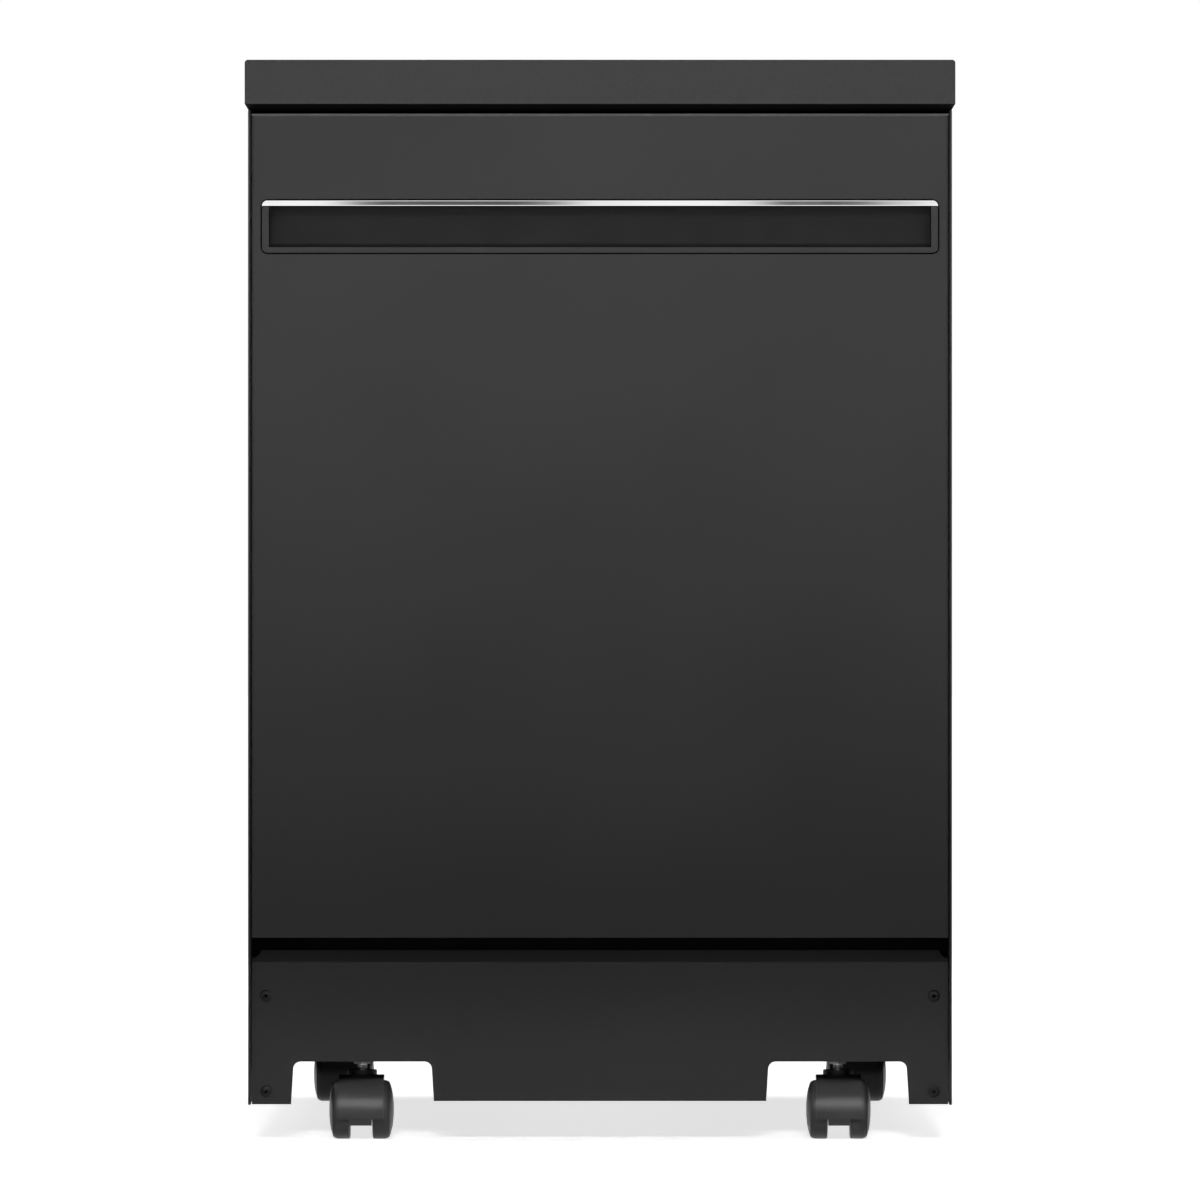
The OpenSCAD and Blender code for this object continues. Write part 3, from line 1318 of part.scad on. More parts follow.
module rack_wheels(y) color(grey_plastic) both_sides()
    translate([lower_wheel_x - lower_wheel_w, y, lower_wheel_z])
    rotate([0, 90, 0]) difference() {
        rotate_extrude($fn = round_fn) polygon([
            [axle_pin_r + running, 0], [rack_wheel_r - 1, 0], [rack_wheel_r, 1],
            [rack_wheel_r, lower_wheel_w - 1],
            [rack_wheel_r - 1, lower_wheel_w], [rack_wheel_r - 4, lower_wheel_w],
            [rack_wheel_r - 5, lower_wheel_w - 3],
            [axle_pin_r + 4, lower_wheel_w - 3], [axle_pin_r + 3, lower_wheel_w],
            [axle_pin_r + running, lower_wheel_w]]);
    }
module lower_rack_wheels_front() rack_wheels(lower_wheel_front_y);
module lower_rack_wheels_rear() rack_wheels(lower_wheel_rear_y);

basket_cells = 6;
basket_wall = 2;
basket_fit = 0.2;                          // between the basket's floor, walls, dividers and handle
// Silverware basket: a slotted floor and long walls, with dividers that snap in between
module silverware_basket() {
    cell = (basket_len - basket_wall) / basket_cells;
    w = basket_half_w;
    z0 = basket_z + basket_wall + basket_fit;
    z1 = basket_z + basket_h;
    slots = [for (i = [0:basket_cells - 1], k = [0:2])
             basket_wall + i * cell + (cell - basket_wall) * (k + 0.5) / 3];
    color(grey_plastic)
    translate([basket_x, basket_y - basket_len / 2, 0]) {
        difference() {
            block([-w, w], [0, basket_len], [basket_z, basket_z + basket_wall]);
            for (y = slots) block([-w + 8, w - 8], [y - 2, y + 2], [basket_z - over, z0]);
        }
        both_sides() difference() {
            block([w - basket_wall, w], [0, basket_len], [z0, z1]);
            for (y = slots) block([w - basket_wall - over, w + over], [y - 3, y + 3], [z0 + 12, z1 - 22]);
        }
        for (i = [0:basket_cells]) let (inside = w - basket_wall - basket_fit)
            block([-inside, inside], [i * cell, i * cell + basket_wall], [z0, z1]);
        // carrying handle that springs from the dividers beside the middle one
        translate([0, basket_len / 2, z1 + basket_fit]) span_x(-3, 3) polygon(concat(
            arc([0, 0], cell + 2, 0, 180, 14), arc([0, 0], cell - 3, 180, 0, 14)));
    }
}

worktop();
left_side_panel();
right_side_panel();
back_panel();
base_frame();
counterweight();
kick_plate();
kick_plate_screws();
caster_stems();
tub();
tub_gasket();
hinge_brackets();
door_strike();
sump();
filter_basket();
heating_element();
wash_pump();
drain_pump();
inlet_valve();
spray_manifold();
top_nozzle();
hose_compartment();
float_cap();
door_outer_panel();
control_console();
indicator_lens();
handle_pocket();
handle_trim();
door_inner_panel();
door_bottom_seal();
hinge_arms();
latch_housing();
dispenser_body();
vent_cover();
dispenser_lid();
rinse_aid_cap();
button_1();
button_2();
button_3();
button_4();
button_5();
upper_rack();
upper_rack_rails();
rack_rollers_front();
rack_rollers_rear();
upper_feed_tube();
upper_spray_arm();
lower_rack();
lower_rack_wheels_front();
lower_rack_wheels_rear();
silverware_basket();
lower_spray_arm();
caster_front_left_hood();
caster_front_right_hood();
caster_rear_left_hood();
caster_rear_right_hood();
caster_front_left_wheels();
caster_front_right_wheels();
caster_rear_left_wheels();
caster_rear_right_wheels();
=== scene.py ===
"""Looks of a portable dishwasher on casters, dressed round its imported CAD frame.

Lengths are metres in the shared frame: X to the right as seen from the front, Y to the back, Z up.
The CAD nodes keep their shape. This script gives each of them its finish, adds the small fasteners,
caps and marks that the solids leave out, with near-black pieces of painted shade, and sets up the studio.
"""

from __future__ import annotations

import json
import logging
import math
from dataclasses import dataclass, replace
from enum import Enum
from functools import cache
from typing import Iterable, Sequence

import bmesh
import bpy
from mathutils import Matrix, Vector


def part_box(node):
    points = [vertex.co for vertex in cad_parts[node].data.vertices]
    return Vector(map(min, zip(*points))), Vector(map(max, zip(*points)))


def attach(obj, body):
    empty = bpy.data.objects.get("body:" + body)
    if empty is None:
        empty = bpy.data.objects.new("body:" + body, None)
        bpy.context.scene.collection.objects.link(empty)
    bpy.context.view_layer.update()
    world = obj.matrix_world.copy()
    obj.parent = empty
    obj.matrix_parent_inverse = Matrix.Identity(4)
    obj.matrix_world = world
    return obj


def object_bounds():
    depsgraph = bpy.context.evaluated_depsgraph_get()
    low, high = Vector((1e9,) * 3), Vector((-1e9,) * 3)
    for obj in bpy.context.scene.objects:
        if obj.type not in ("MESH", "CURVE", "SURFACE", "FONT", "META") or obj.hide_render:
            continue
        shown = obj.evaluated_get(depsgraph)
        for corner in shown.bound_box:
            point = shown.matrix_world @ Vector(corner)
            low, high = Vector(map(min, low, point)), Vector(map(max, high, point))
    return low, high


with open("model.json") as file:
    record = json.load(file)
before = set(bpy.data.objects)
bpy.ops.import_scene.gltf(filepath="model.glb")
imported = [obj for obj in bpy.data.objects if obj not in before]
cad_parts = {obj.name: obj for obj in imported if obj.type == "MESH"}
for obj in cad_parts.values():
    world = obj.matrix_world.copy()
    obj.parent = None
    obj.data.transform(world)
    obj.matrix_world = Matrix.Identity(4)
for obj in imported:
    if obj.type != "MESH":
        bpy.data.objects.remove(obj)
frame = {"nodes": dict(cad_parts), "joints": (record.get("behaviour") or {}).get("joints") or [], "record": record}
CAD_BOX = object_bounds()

LOG = logging.getLogger("dishwasher")
MM = 0.001
MERGE_DISTANCE = 1e-6
SMOOTH_ANGLE = 35.0
SIDES = (-1, 1)
HEXAGON = 6
HOLE_PITCH = 0.0022
Pair = tuple[float, float]
Point = tuple[float, float, float]
Colour = tuple[float, float, float]
Socket = bpy.types.NodeSocket


class Facing(Enum):
    """Directions that a fastener's head or a turned piece can face."""

    LEFT = (-1.0, 0.0, 0.0)
    RIGHT = (1.0, 0.0, 0.0)
    FRONT = (0.0, -1.0, 0.0)
    BACK = (0.0, 1.0, 0.0)
    UP = (0.0, 0.0, 1.0)


class Grain(Enum):
    """Ways in which a surface was rolled, brushed or wiped, as the scale of its pattern along X, Y and Z."""

    NONE = (1.0, 1.0, 1.0)
    WIPED = (0.2, 1.0, 1.0)
    ACROSS = (0.04, 1.0, 1.0)
    UPRIGHT = (1.0, 1.0, 0.04)


def place(point: Point, facing: Facing = Facing.UP) -> Matrix:
    """Gives the matrix that takes a shape drawn upright at the origin to its place.

    Args:
        point: Where the shape's own origin goes.
        facing: Where its own Z axis points.

    Returns:
        The matrix.
    """
    turn = Vector(Facing.UP.value).rotation_difference(Vector(facing.value))
    return Matrix.Translation(point) @ turn.to_matrix().to_4x4()


def spaced(first: float, last: float, count: int) -> list[float]:
    """Gives a number of places at even steps from the first to the last."""
    return [first + (last - first) * number / (count - 1) for number in range(count)]


# ---- finishes


@dataclass(frozen=True)
class Noise:
    """A smooth random pattern: its patches to the metre, and how many finer layers it has."""

    scale: float
    detail: float


@dataclass(frozen=True)
class Tone(Noise):
    """A pattern of tone: the part of it that counts, and the gains of the colour at both its ends."""

    part: Pair = (0.35, 0.65)
    gains: Pair = (0.95, 1.05)


@dataclass(frozen=True)
class Relief(Noise):
    """A pattern of height: its depth in metres, and how strongly it shows."""

    depth: float = 0.00003
    strength: float = 0.5


class Graph:
    """Short hand for the nodes of a material or of the world."""

    def __init__(self, owner: bpy.types.Material | bpy.types.World, kind: str = "Material") -> None:
        """Empties the owner's nodes and adds an output of its kind."""
        owner.use_nodes = True
        self.nodes, self.links = owner.node_tree.nodes, owner.node_tree.links
        self.nodes.clear()
        self.surface = self.add("Output" + kind).inputs["Surface"]

    def feed(self, target: Socket, value: object) -> None:
        """Gives a socket what it takes: another socket's output, or a value of its own."""
        if isinstance(value, Socket):
            self.links.new(value, target)
        else:
            target.default_value = value

    def add(self, kind: str, **values: object) -> bpy.types.Node:
        """Adds a node.

        Args:
            kind: The node's type, without the words that every shader node's type starts with.
            values: What its sockets take, by their names with spaces written as underscores.

        Returns:
            The node.
        """
        node = self.nodes.new("ShaderNode" + kind)
        for name, value in values.items():
            self.feed(node.inputs[name.replace("_", " ")], value)
        return node

    @cache
    def coordinates(self, grain: Grain = Grain.NONE) -> Socket:
        """Gives object coordinates, drawn out along a grain."""
        source = self.add("TexCoord").outputs["Object"]
        return self.add("Mapping", Vector=source, Scale=grain.value).outputs[0]

    def axis(self, number: int) -> Socket:
        """Gives one of the object coordinates: 0 for X, 1 for Y, 2 for Z."""
        return self.add("SeparateXYZ", Vector=self.coordinates()).outputs[number]

    def noise(self, pattern: Noise, grain: Grain = Grain.NONE) -> Socket:
        """Gives a smooth random value from 0 to 1."""
        source = self.coordinates(grain)
        return self.add("TexNoise", Vector=source, Scale=pattern.scale, Detail=pattern.detail).outputs[0]

    def cells(self, scale: float, random: float = 1.0) -> bpy.types.Node:
        """Gives a Voronoi node: Distance to a cell's middle, and a Color for each cell."""
        return self.add("TexVoronoi", Vector=self.coordinates(), Scale=scale, Randomness=random)

    def remap(self, value: Socket, source: Pair, target: Pair = (0.0, 1.0)) -> Socket:
        """Stretches a value from one range to another, and clamps it there."""
        node = self.add("MapRange", Value=value, From_Min=source[0], From_Max=source[1],
                        To_Min=target[0], To_Max=target[1])
        return node.outputs[0]

    def blend(self, factor: Socket, low: Colour | Socket, high: Colour | Socket) -> Socket:
        """Mixes two colours, each of its own or from a socket, by a factor."""
        node = self.add("Mix")
        node.data_type = "RGBA"
        self.feed(node.inputs[0], factor)
        for number, tone in ((6, low), (7, high)):
            self.feed(node.inputs[number], tone if isinstance(tone, Socket) else (*tone, 1.0))
        return node.outputs[2]


def tint(colour: Colour, gain: float) -> Colour:
    """Makes a colour lighter or darker by a gain."""
    return tuple(min(1.0, channel * gain) for channel in colour)


@dataclass(frozen=True)
class Finish:
    """A surface: its colour, the values of the shader's own sockets, and the patterns that vary them.

    Its gloss goes by the spread about the roughness, and its relief lies over edges that are rounded by
    a small radius.
    """

    name: str
    colour: Colour
    roughness: float = 0.5
    spread: float = 0.04
    metallic: float = 0.0
    specular: float = 0.5
    edge: float = 0.0
    grain: Grain = Grain.NONE
    tone: Tone | None = None
    gloss: Noise = Noise(60.0, 3.0)
    gloss_part: Pair = (0.3, 0.7)
    relief: Relief = Relief(700.0, 3.0)

    @cache
    def material(self) -> bpy.types.Material:
        """Builds the material once, and gives the same one after that."""
        material = bpy.data.materials.new(self.name)
        material.diffuse_color = (*self.colour, 1.0)
        graph = Graph(material)
        shader = graph.add("BsdfPrincipled", Base_Color=(*self.colour, 1.0), Roughness=self.roughness,
                           Metallic=self.metallic, Specular_IOR_Level=self.specular)
        graph.feed(graph.surface, shader.outputs[0])
        if self.tone:
            graph.feed(shader.inputs["Base Color"], self.shade(graph))
        gloss = graph.remap(self.gloss_pattern(graph), self.gloss_part,
                            (self.roughness - self.spread, self.roughness + self.spread))
        graph.feed(shader.inputs["Roughness"], gloss)
        bump = graph.add("Bump", Strength=self.relief.strength, Distance=self.relief.depth,
                         Height=self.height(graph))
        graph.feed(shader.inputs["Normal"], bump.outputs[0])
        if self.edge:
            worn = graph.add("Bevel", Radius=self.edge)
            worn.samples = 4
            graph.feed(bump.inputs["Normal"], worn.outputs[0])
        return material

    def ends(self) -> tuple[Colour, Colour]:
        """Gives the two colours that the tone goes between."""
        return tuple(tint(self.colour, gain) for gain in self.tone.gains)

    def shade(self, graph: Graph) -> Socket:
        """Gives the colour, with its changes of tone."""
        return graph.blend(graph.remap(self.tone_pattern(graph), self.tone.part), *self.ends())

    def tone_pattern(self, graph: Graph) -> Socket:
        """Gives the pattern of the tone."""
        return graph.noise(self.tone, self.grain)

    def gloss_pattern(self, graph: Graph) -> Socket:
        """Gives the pattern of the gloss."""
        return graph.noise(self.gloss)

    def height(self, graph: Graph) -> Socket:
        """Gives the height of the relief, from 0 to 1."""
        return graph.noise(self.relief, self.grain)


@dataclass(frozen=True)
class Enamel(Finish):
    """Baked enamel on sheet steel: a faint orange peel under an even, satin gloss."""

    edge: float = 0.0005
    tone: Tone = Tone(5.0, 3.0)
    gloss: Noise = Noise(34.0, 4.0)
    relief: Relief = Relief(420.0, 2.0, strength=0.6)


@dataclass(frozen=True)
class Laminate(Finish):
    """Matt laminate: pebbled by its press plate, with fine flecks, and near black below its top face's front edge:
    painted shade on the bevel and underside.
    """

    tone: Tone = Tone(620.0, 3.0, (0.42, 0.6))
    gloss: Noise = Noise(90.0, 3.0)
    relief: Relief = Relief(1100.0, 0.0)
    # Painted shade: below this height the colour is near black, for the shadow under the worktop's front edge.
    edge_shade_colour: Colour = (0.002, 0.002, 0.002)
    edge_shade_top: float = 0.8918
    edge_shade_blend: float = 0.0003

    def shade(self, graph: Graph) -> Socket:
        """Gives the flecked face, and painted shade, near black, under its edge."""
        above_painted_shade = graph.remap(graph.axis(2), (self.edge_shade_top, self.edge_shade_top + self.edge_shade_blend))
        return graph.blend(above_painted_shade, self.edge_shade_colour, super().shade(graph))

    def height(self, graph: Graph) -> Socket:
        """Gives the pebble."""
        return graph.cells(self.relief.scale).outputs["Distance"]


@dataclass(frozen=True)
class Moulded(Finish):
    """Moulded plastic: a spark-eroded grain, and a tone that drifts a little with the flow."""

    edge: float = 0.0004
    tone: Tone = Tone(9.0, 2.0, gains=(0.94, 1.06))
    relief: Relief = Relief(1400.0, 3.0, 0.00004, 0.7)


@dataclass(frozen=True)
class RecessShaded(Moulded):
    """A moulded face, and painted shade: a darker colour in the recess behind it."""

    mouth_y: float = -0.3535
    mouth_blend: float = 0.0010
    painted_shade_gain: float = 0.30

    def shade(self, graph: Graph) -> Socket:
        """Gives the face's colour, and painted shade: a darker one behind the mouth."""
        painted_shade_mask = graph.remap(graph.axis(1), (self.mouth_y, self.mouth_y + self.mouth_blend))
        return graph.blend(painted_shade_mask, super().shade(graph), tint(self.colour, self.painted_shade_gain))


@dataclass(frozen=True)
class Brushed(Finish):
    """Brushed sheet metal: long streaks along the grain in its tone and surface."""

    metallic: float = 1.0
    grain: Grain = Grain.ACROSS
    tone: Tone = Tone(520.0, 4.0, (0.3, 0.7), (0.88, 1.08))
    gloss: Noise = Noise(7.0, 3.0)
    relief: Relief = Relief(520.0, 4.0, 0.00002)


@dataclass(frozen=True)
class Galvanised(Finish):
    """Zinc-coated steel, with the crystals of its coating faintly apart in tone and gloss."""

    metallic: float = 1.0
    edge: float = 0.0004
    tone: Tone = Tone(85.0, 0.0, (0.0, 1.0), (0.84, 1.12))
    gloss_part: Pair = (0.0, 1.0)

    def tone_pattern(self, graph: Graph) -> Socket:
        """Gives a value for each crystal."""
        return graph.cells(self.tone.scale).outputs["Color"]

    def gloss_pattern(self, graph: Graph) -> Socket:
        """Gives the same value as the tone's."""
        return self.tone_pattern(graph)


@dataclass(frozen=True)
class Polished(Finish):
    """Bright plating, with the faint unevenness of a wiped surface in its gloss."""

    metallic: float = 1.0
    grain: Grain = Grain.WIPED
    gloss: Noise = Noise(40.0, 3.0)
    relief: Relief = Relief(60.0, 1.0, 0.00001, 0.3)


@dataclass(frozen=True)
class Rubber(Finish):
    """Matt rubber with a dusty bloom and a fine tooth."""

    tone: Tone = Tone(24.0, 4.0, (0.45, 0.7), (1.0, 1.35))
    gloss: Noise = Noise(80.0, 2.0)
    relief: Relief = Relief(1800.0, 2.0, 0.00004, 0.6)


@dataclass(frozen=True)
class CastIron(Finish):
    """Iron as it comes from the sand, dark and coarse."""

    tone: Tone = Tone(260.0, 5.0, (0.3, 0.7), (0.75, 1.2))
    gloss: Noise = Noise(260.0, 5.0)
    relief: Relief = Relief(260.0, 5.0, 0.0005, 0.8)


@dataclass(frozen=True)
class HeatTinted(Finish):
    """Steel tube that heat has turned straw and blue in patches."""

    tone: Tone = Tone(22.0, 3.0)
    gloss: Noise = Noise(120.0, 3.0)
    relief: Relief = Relief(900.0, 2.0)
    straw: Colour = (0.42, 0.34, 0.24)
    blue: Colour = (0.24, 0.26, 0.31)

    def ends(self) -> tuple[Colour, Colour]:
        """Gives the colours of the patches."""
        return self.blue, self.straw


@dataclass(frozen=True)
class Perforated(Finish):
    """Thin steel sheet etched with rows of fine holes, which are dark dimples in it."""

    tone: Tone = Tone(1 / HOLE_PITCH, 0.0, (0.30, 0.38))
    gloss: Noise = Noise(90.0, 2.0)
    relief: Relief = Relief(1 / HOLE_PITCH, 0.0, 0.0003, 0.7)
    hole: Colour = (0.02, 0.02, 0.02)

    def ends(self) -> tuple[Colour, Colour]:
        """Gives the colours of a hole and of the sheet."""
        return self.hole, self.colour

    def tone_pattern(self, graph: Graph) -> Socket:
        """Gives the distance to the nearest hole's middle, for holes in rows."""
        return graph.cells(self.relief.scale, 0.0).outputs["Distance"]

    def height(self, graph: Graph) -> Socket:
        """Gives the sheet, with a dimple at each hole."""
        return graph.remap(self.tone_pattern(graph), self.tone.part)


@dataclass(frozen=True)
class Glossy(Finish):
    """Smooth glossy plastic or a smoked window."""

    tone: Tone = Tone(12.0, 2.0, gains=(0.95, 1.06))
    gloss: Noise = Noise(46.0, 3.0)
    relief: Relief = Relief(300.0, 1.0, 0.00001)


ENAMEL = Enamel("black_enamel", (0.034, 0.034, 0.0345), 0.45, 0.03, specular=0.05)
# Painted shade: the kick plate's enamel is the black enamel made darker, to offset the extra light of the low lamp
# on it.
KICK_ENAMEL_SHADED = Enamel("kick_enamel_painted_shade", (0.0185, 0.0185, 0.0188), 0.45, 0.03, specular=0.10)
# Black chassis paint. On the hinge brackets it is also painted shade.
CHASSIS_PAINT_AND_SHADE = Enamel("chassis_paint_and_shade", (0.014, 0.014, 0.0145), 0.60, 0.05, specular=0.10, edge=0.0004)
LAMINATE = Laminate("worktop_laminate", (0.036, 0.036, 0.0365), 0.56, 0.04, specular=0.08)
BLACK_PLASTIC = Moulded("black_plastic", (0.019, 0.019, 0.0194), 0.50, 0.05, specular=0.15)
# Painted shade: the handle pocket's plastic turns darker behind its mouth, where shade falls in the recess.
POCKET_PLASTIC_SHADED = RecessShaded("pocket_plastic_painted_shade", (0.025, 0.025, 0.0254), 0.50, 0.05, specular=0.15)
CONSOLE_PLASTIC = Moulded("console_plastic", (0.036, 0.036, 0.0365), 0.36, 0.04, specular=0.4)
CASTER_PLASTIC = Moulded("caster_plastic", (0.042, 0.042, 0.0425), 0.40, 0.04, specular=0.2)
CHROME = Polished("bright_trim", (0.90, 0.90, 0.91), 0.05, 0.015)
ZINC = Galvanised("galvanised_steel", (0.52, 0.53, 0.54), 0.40, 0.08)
# Painted light: the caster stems' zinc is a lighter copy of the galvanised steel, for stems that stand in shade
# under the cabinet.
STEM_ZINC_LIT = Galvanised("stem_zinc_painted_light", (0.74, 0.75, 0.76), 0.38, 0.06, metallic=0.7)
STAINLESS = Brushed("stainless", (0.62, 0.62, 0.63), 0.33, 0.04)
STAINLESS_UPRIGHT = replace(STAINLESS, name="stainless_upright", grain=Grain.UPRIGHT)
RACK_COATING = Moulded("rack_coating", (0.30, 0.315, 0.33), 0.38, 0.05, edge=0.0,
                       relief=Relief(700.0, 3.0, 0.00004, 0.7))
GREY_PLASTIC = Moulded("grey_plastic", (0.34, 0.35, 0.36), 0.45, 0.05)
DARK_GREY_PLASTIC = Moulded("dark_grey_plastic", (0.12, 0.125, 0.13), 0.42, 0.05)
WHITE_PLASTIC = Glossy("white_plastic", (0.74, 0.75, 0.75), 0.32, 0.05)
RUBBER = Rubber("rubber_seal", (0.05, 0.05, 0.052), 0.72, 0.08)
FELT = Rubber("sound_pad", (0.018, 0.018, 0.018), 0.90, 0.05, specular=0.1)
# Painted shade: a near-black, unglossy finish for pieces that stand in for shade in gaps and recesses.
SHADE_BLACK = Rubber("painted_shade_black", (0.002, 0.002, 0.002), 0.80, 0.05, specular=0.0)
BUTTON_PLASTIC = Glossy("button_plastic", (0.035, 0.035, 0.038), 0.22, 0.04, edge=0.0003)
WINDOW = Glossy("indicator_window", (0.05, 0.015, 0.015), 0.08, 0.02)
LAMP = Glossy("indicator_lamp", (0.75, 0.80, 0.78), 0.30, 0.05)
HEATER = HeatTinted("heater_tube", (0.33, 0.30, 0.28), 0.38, 0.08, metallic=0.9)
IRON = CastIron("counterweight_iron", (0.09, 0.09, 0.092), 0.80, 0.08, metallic=0.3)
MOTOR = Enamel("motor_housing", (0.07, 0.07, 0.075), 0.50, 0.05)
MESH_STEEL = Perforated("filter_mesh", (0.50, 0.51, 0.52), 0.36, 0.06, metallic=0.9)


# ---- modelling


def soften(solid: bmesh.types.BMesh, edges: Sequence[bmesh.types.BMEdge], radius: float,
           segments: int = 2) -> None:
    """Rounds some edges of a solid by a radius."""
    bmesh.ops.bevel(solid, geom=edges, offset=radius, offset_type="OFFSET", segments=segments, profile=0.5,
                    affect="EDGES", material=-1)


def cone(sides: int, foot_r: float, top_r: float, height: float) -> bmesh.types.BMesh:
    """Starts a solid as a closed cone or prism that stands on its own XY plane."""
    solid = bmesh.new()
    bmesh.ops.create_cone(solid, cap_ends=True, segments=sides, radius1=foot_r, radius2=top_r, depth=height)
    bmesh.ops.translate(solid, vec=(0.0, 0.0, height / 2), verts=solid.verts)
    return solid


class Shape:
    """A new piece under way: solids modelled one by one with bmesh operators, then ended as an object."""

    def __init__(self, name: str) -> None:
        """Starts an empty piece."""
        self.name = name
        self.mesh = bmesh.new()

    def join(self, solid: bmesh.types.BMesh, matrix: Matrix) -> None:
        """Cleans one solid, takes it to its place and joins it to the piece."""
        bmesh.ops.remove_doubles(solid, verts=solid.verts, dist=MERGE_DISTANCE)
        bmesh.ops.recalc_face_normals(solid, faces=solid.faces)
        bmesh.ops.transform(solid, matrix=matrix, verts=solid.verts)
        carrier = bpy.data.meshes.new("carrier")
        solid.to_mesh(carrier)
        solid.free()
        self.mesh.from_mesh(carrier)
        bpy.data.meshes.remove(carrier)

    def turned(self, profile: Sequence[Pair], matrix: Matrix, steps: int = 24) -> None:
        """Adds a turned solid.

        Args:
            profile: Its outline as (radius, height), from one end on the axis to the other.
            matrix: Its place.
            steps: Its smoothness.
        """
        solid = bmesh.new()
        points = [solid.verts.new((radius, 0.0, height)) for radius, height in profile]
        edges = [solid.edges.new(pair) for pair in zip(points, points[1:])]
        bmesh.ops.spin(solid, geom=points + edges, axis=(0, 0, 1), cent=(0, 0, 0), angle=math.tau,
                       steps=steps, use_merge=True)
        self.join(solid, matrix)

    def ring(self, radius: float, height: float, wall: float, matrix: Matrix, steps: int = 32) -> None:
        """Adds a ring of square section with soft edges: its inner radius, its height and its wall."""
        soft = min(wall, height) * 0.25
        outer = radius + wall
        profile = [(radius, soft), (radius + soft, 0.0), (outer - soft, 0.0), (outer, soft),
                   (outer, height - soft), (outer - soft, height), (radius + soft, height),
                   (radius, height - soft), (radius, soft)]
        self.turned(profile, matrix, steps)

    def block(self, size: Point, matrix: Matrix, soft: float, segments: int = 2) -> None:
        """Adds a block that stands on its own XY plane.

        Args:
            size: Its size along its own X, Y and Z.
            matrix: Its place.
            soft: The radius of its edges.
            segments: The steps in each edge.
        """
        solid = bmesh.new()
        bmesh.ops.create_cube(solid, size=1.0)
        bmesh.ops.translate(solid, vec=(0.0, 0.0, 0.5), verts=solid.verts)
        bmesh.ops.scale(solid, vec=size, verts=solid.verts)
        soften(solid, solid.edges[:], soft, segments)
        self.join(solid, matrix)

    def frame(self, size: Pair, corner: float, width: float, height: float, matrix: Matrix,
              steps: int = 8) -> None:
        """Adds a thin frame with round corners: a section spun round each corner and drawn to the next.

        Args:
            size: What it encloses, along its own X and Y.
            corner: The radius of its inner corners.
            width: The width of its band.
            height: How far it stands up.
            matrix: Its place.
            steps: The steps in each corner.
        """
        shoulder = height * 0.6
        section = ((0.0, 0.0), (width, 0.0), (width, shoulder), (width / 2, height), (0.0, shoulder))
        x, y = size[0] / 2 - corner, size[1] / 2 - corner
        corners = ((x, y), (-x, y), (-x, -y), (x, -y), (x, y))
        solid = bmesh.new()
        points = [solid.verts.new((x + corner + out, y, level)) for out, level in section]
        edges = [solid.edges.new(pair) for pair in zip(points, points[1:] + points[:1])]
        for here, there in zip(corners, corners[1:]):
            arc = bmesh.ops.spin(solid, geom=points + edges, axis=(0, 0, 1), cent=(*here, 0),
                                 angle=math.pi / 2, steps=steps)["geom_last"]
            ends = [part for part in arc if isinstance(part, bmesh.types.BMEdge)]
            drawn = bmesh.ops.extrude_edge_only(solid, edges=ends)["geom"]
            points = [part for part in drawn if isinstance(part, bmesh.types.BMVert)]
            edges = [part for part in drawn if isinstance(part, bmesh.types.BMEdge)
                     and all(point in points for point in part.verts)]
            bmesh.ops.translate(solid, vec=(there[0] - here[0], there[1] - here[1], 0.0), verts=points)
        self.join(solid, matrix)

    def hexagon(self, across: float, height: float, matrix: Matrix, soft: float) -> None:
        """Adds a hexagon nut or head of a width over its flats, with its upper edge broken."""
        radius = across / 2 / math.cos(math.pi / HEXAGON)
        solid = cone(HEXAGON, radius, radius, height)
        soften(solid, [e for e in solid.edges if all(v.co.z > height * 0.9 for v in e.verts)], soft)
        self.join(solid, matrix)

    def end(self, finish: Finish, body: str, slot: str) -> None:
        """Ends the piece as an object that rides on a body.

        Args:
            finish: What it is made of.
            body: The CAD body it moves with.
            slot: The record's slot for its finish; not used.
        """
        data = bpy.data.meshes.new(self.name)
        self.mesh.to_mesh(data)
        self.mesh.free()
        data.shade_smooth()
        data.set_sharp_from_angle(angle=math.radians(SMOOTH_ANGLE))
        data.materials.append(finish.material())
        piece = bpy.data.objects.new(self.name, data)
        bpy.context.scene.collection.objects.link(piece)
        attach(piece, body)
        LOG.info("%s: %d faces on %s", self.name, len(data.polygons), body)


def hex_screw(shape: Shape, point: Point, facing: Facing, across: float = 0.008) -> None:
    """Adds a hexagon washer-head screw.

    Args:
        shape: The piece that it belongs to.
        point: The middle of the face that its washer lies on.
        facing: Where its head points.
        across: The width over the hexagon's flats.
    """
    spot = place(point, facing)
    washer, flange, head, soft = across * 0.62, across * 0.09, across * 0.40, across * 0.06
    shape.turned([(0.0, 0.0), (washer, 0.0), (washer, flange * 0.6), (washer * 0.9, flange),
                  (0.0, flange)], spot)
    shape.hexagon(across, head, spot @ place((0.0, 0.0, flange * 0.9)), soft)


def star_screw(shape: Shape, point: Point, facing: Facing, radius: float = 0.0042,
               height: float = 0.0018) -> None:
    """Adds a round-head screw with a six-lobed recess.

    Args:
        shape: The piece that it belongs to.
        point: The middle of the face that it lies on.
        facing: Where its head points.
        radius: The head's radius.
        height: The head's height.
    """
    lobes, lobe_rise = 6, 0.16
    top_r, recess_r, recess_depth = radius * 0.72, radius * 0.46, height * 0.55
    solid = cone(lobes * 4, radius, top_r, height)
    top = next(f for f in solid.faces if f.normal.z > 0.9)
    bmesh.ops.inset_individual(solid, faces=[top], thickness=top_r - recess_r)
    for corner in top.verts:
        reach = 1.0 + lobe_rise * math.cos(lobes * math.atan2(corner.co.y, corner.co.x))
        corner.co.xy *= reach
    hole = bmesh.ops.extrude_discrete_faces(solid, faces=[top])["faces"][0]
    bmesh.ops.translate(solid, vec=(0.0, 0.0, -recess_depth), verts=hole.verts)
    shape.join(solid, place(point, facing))


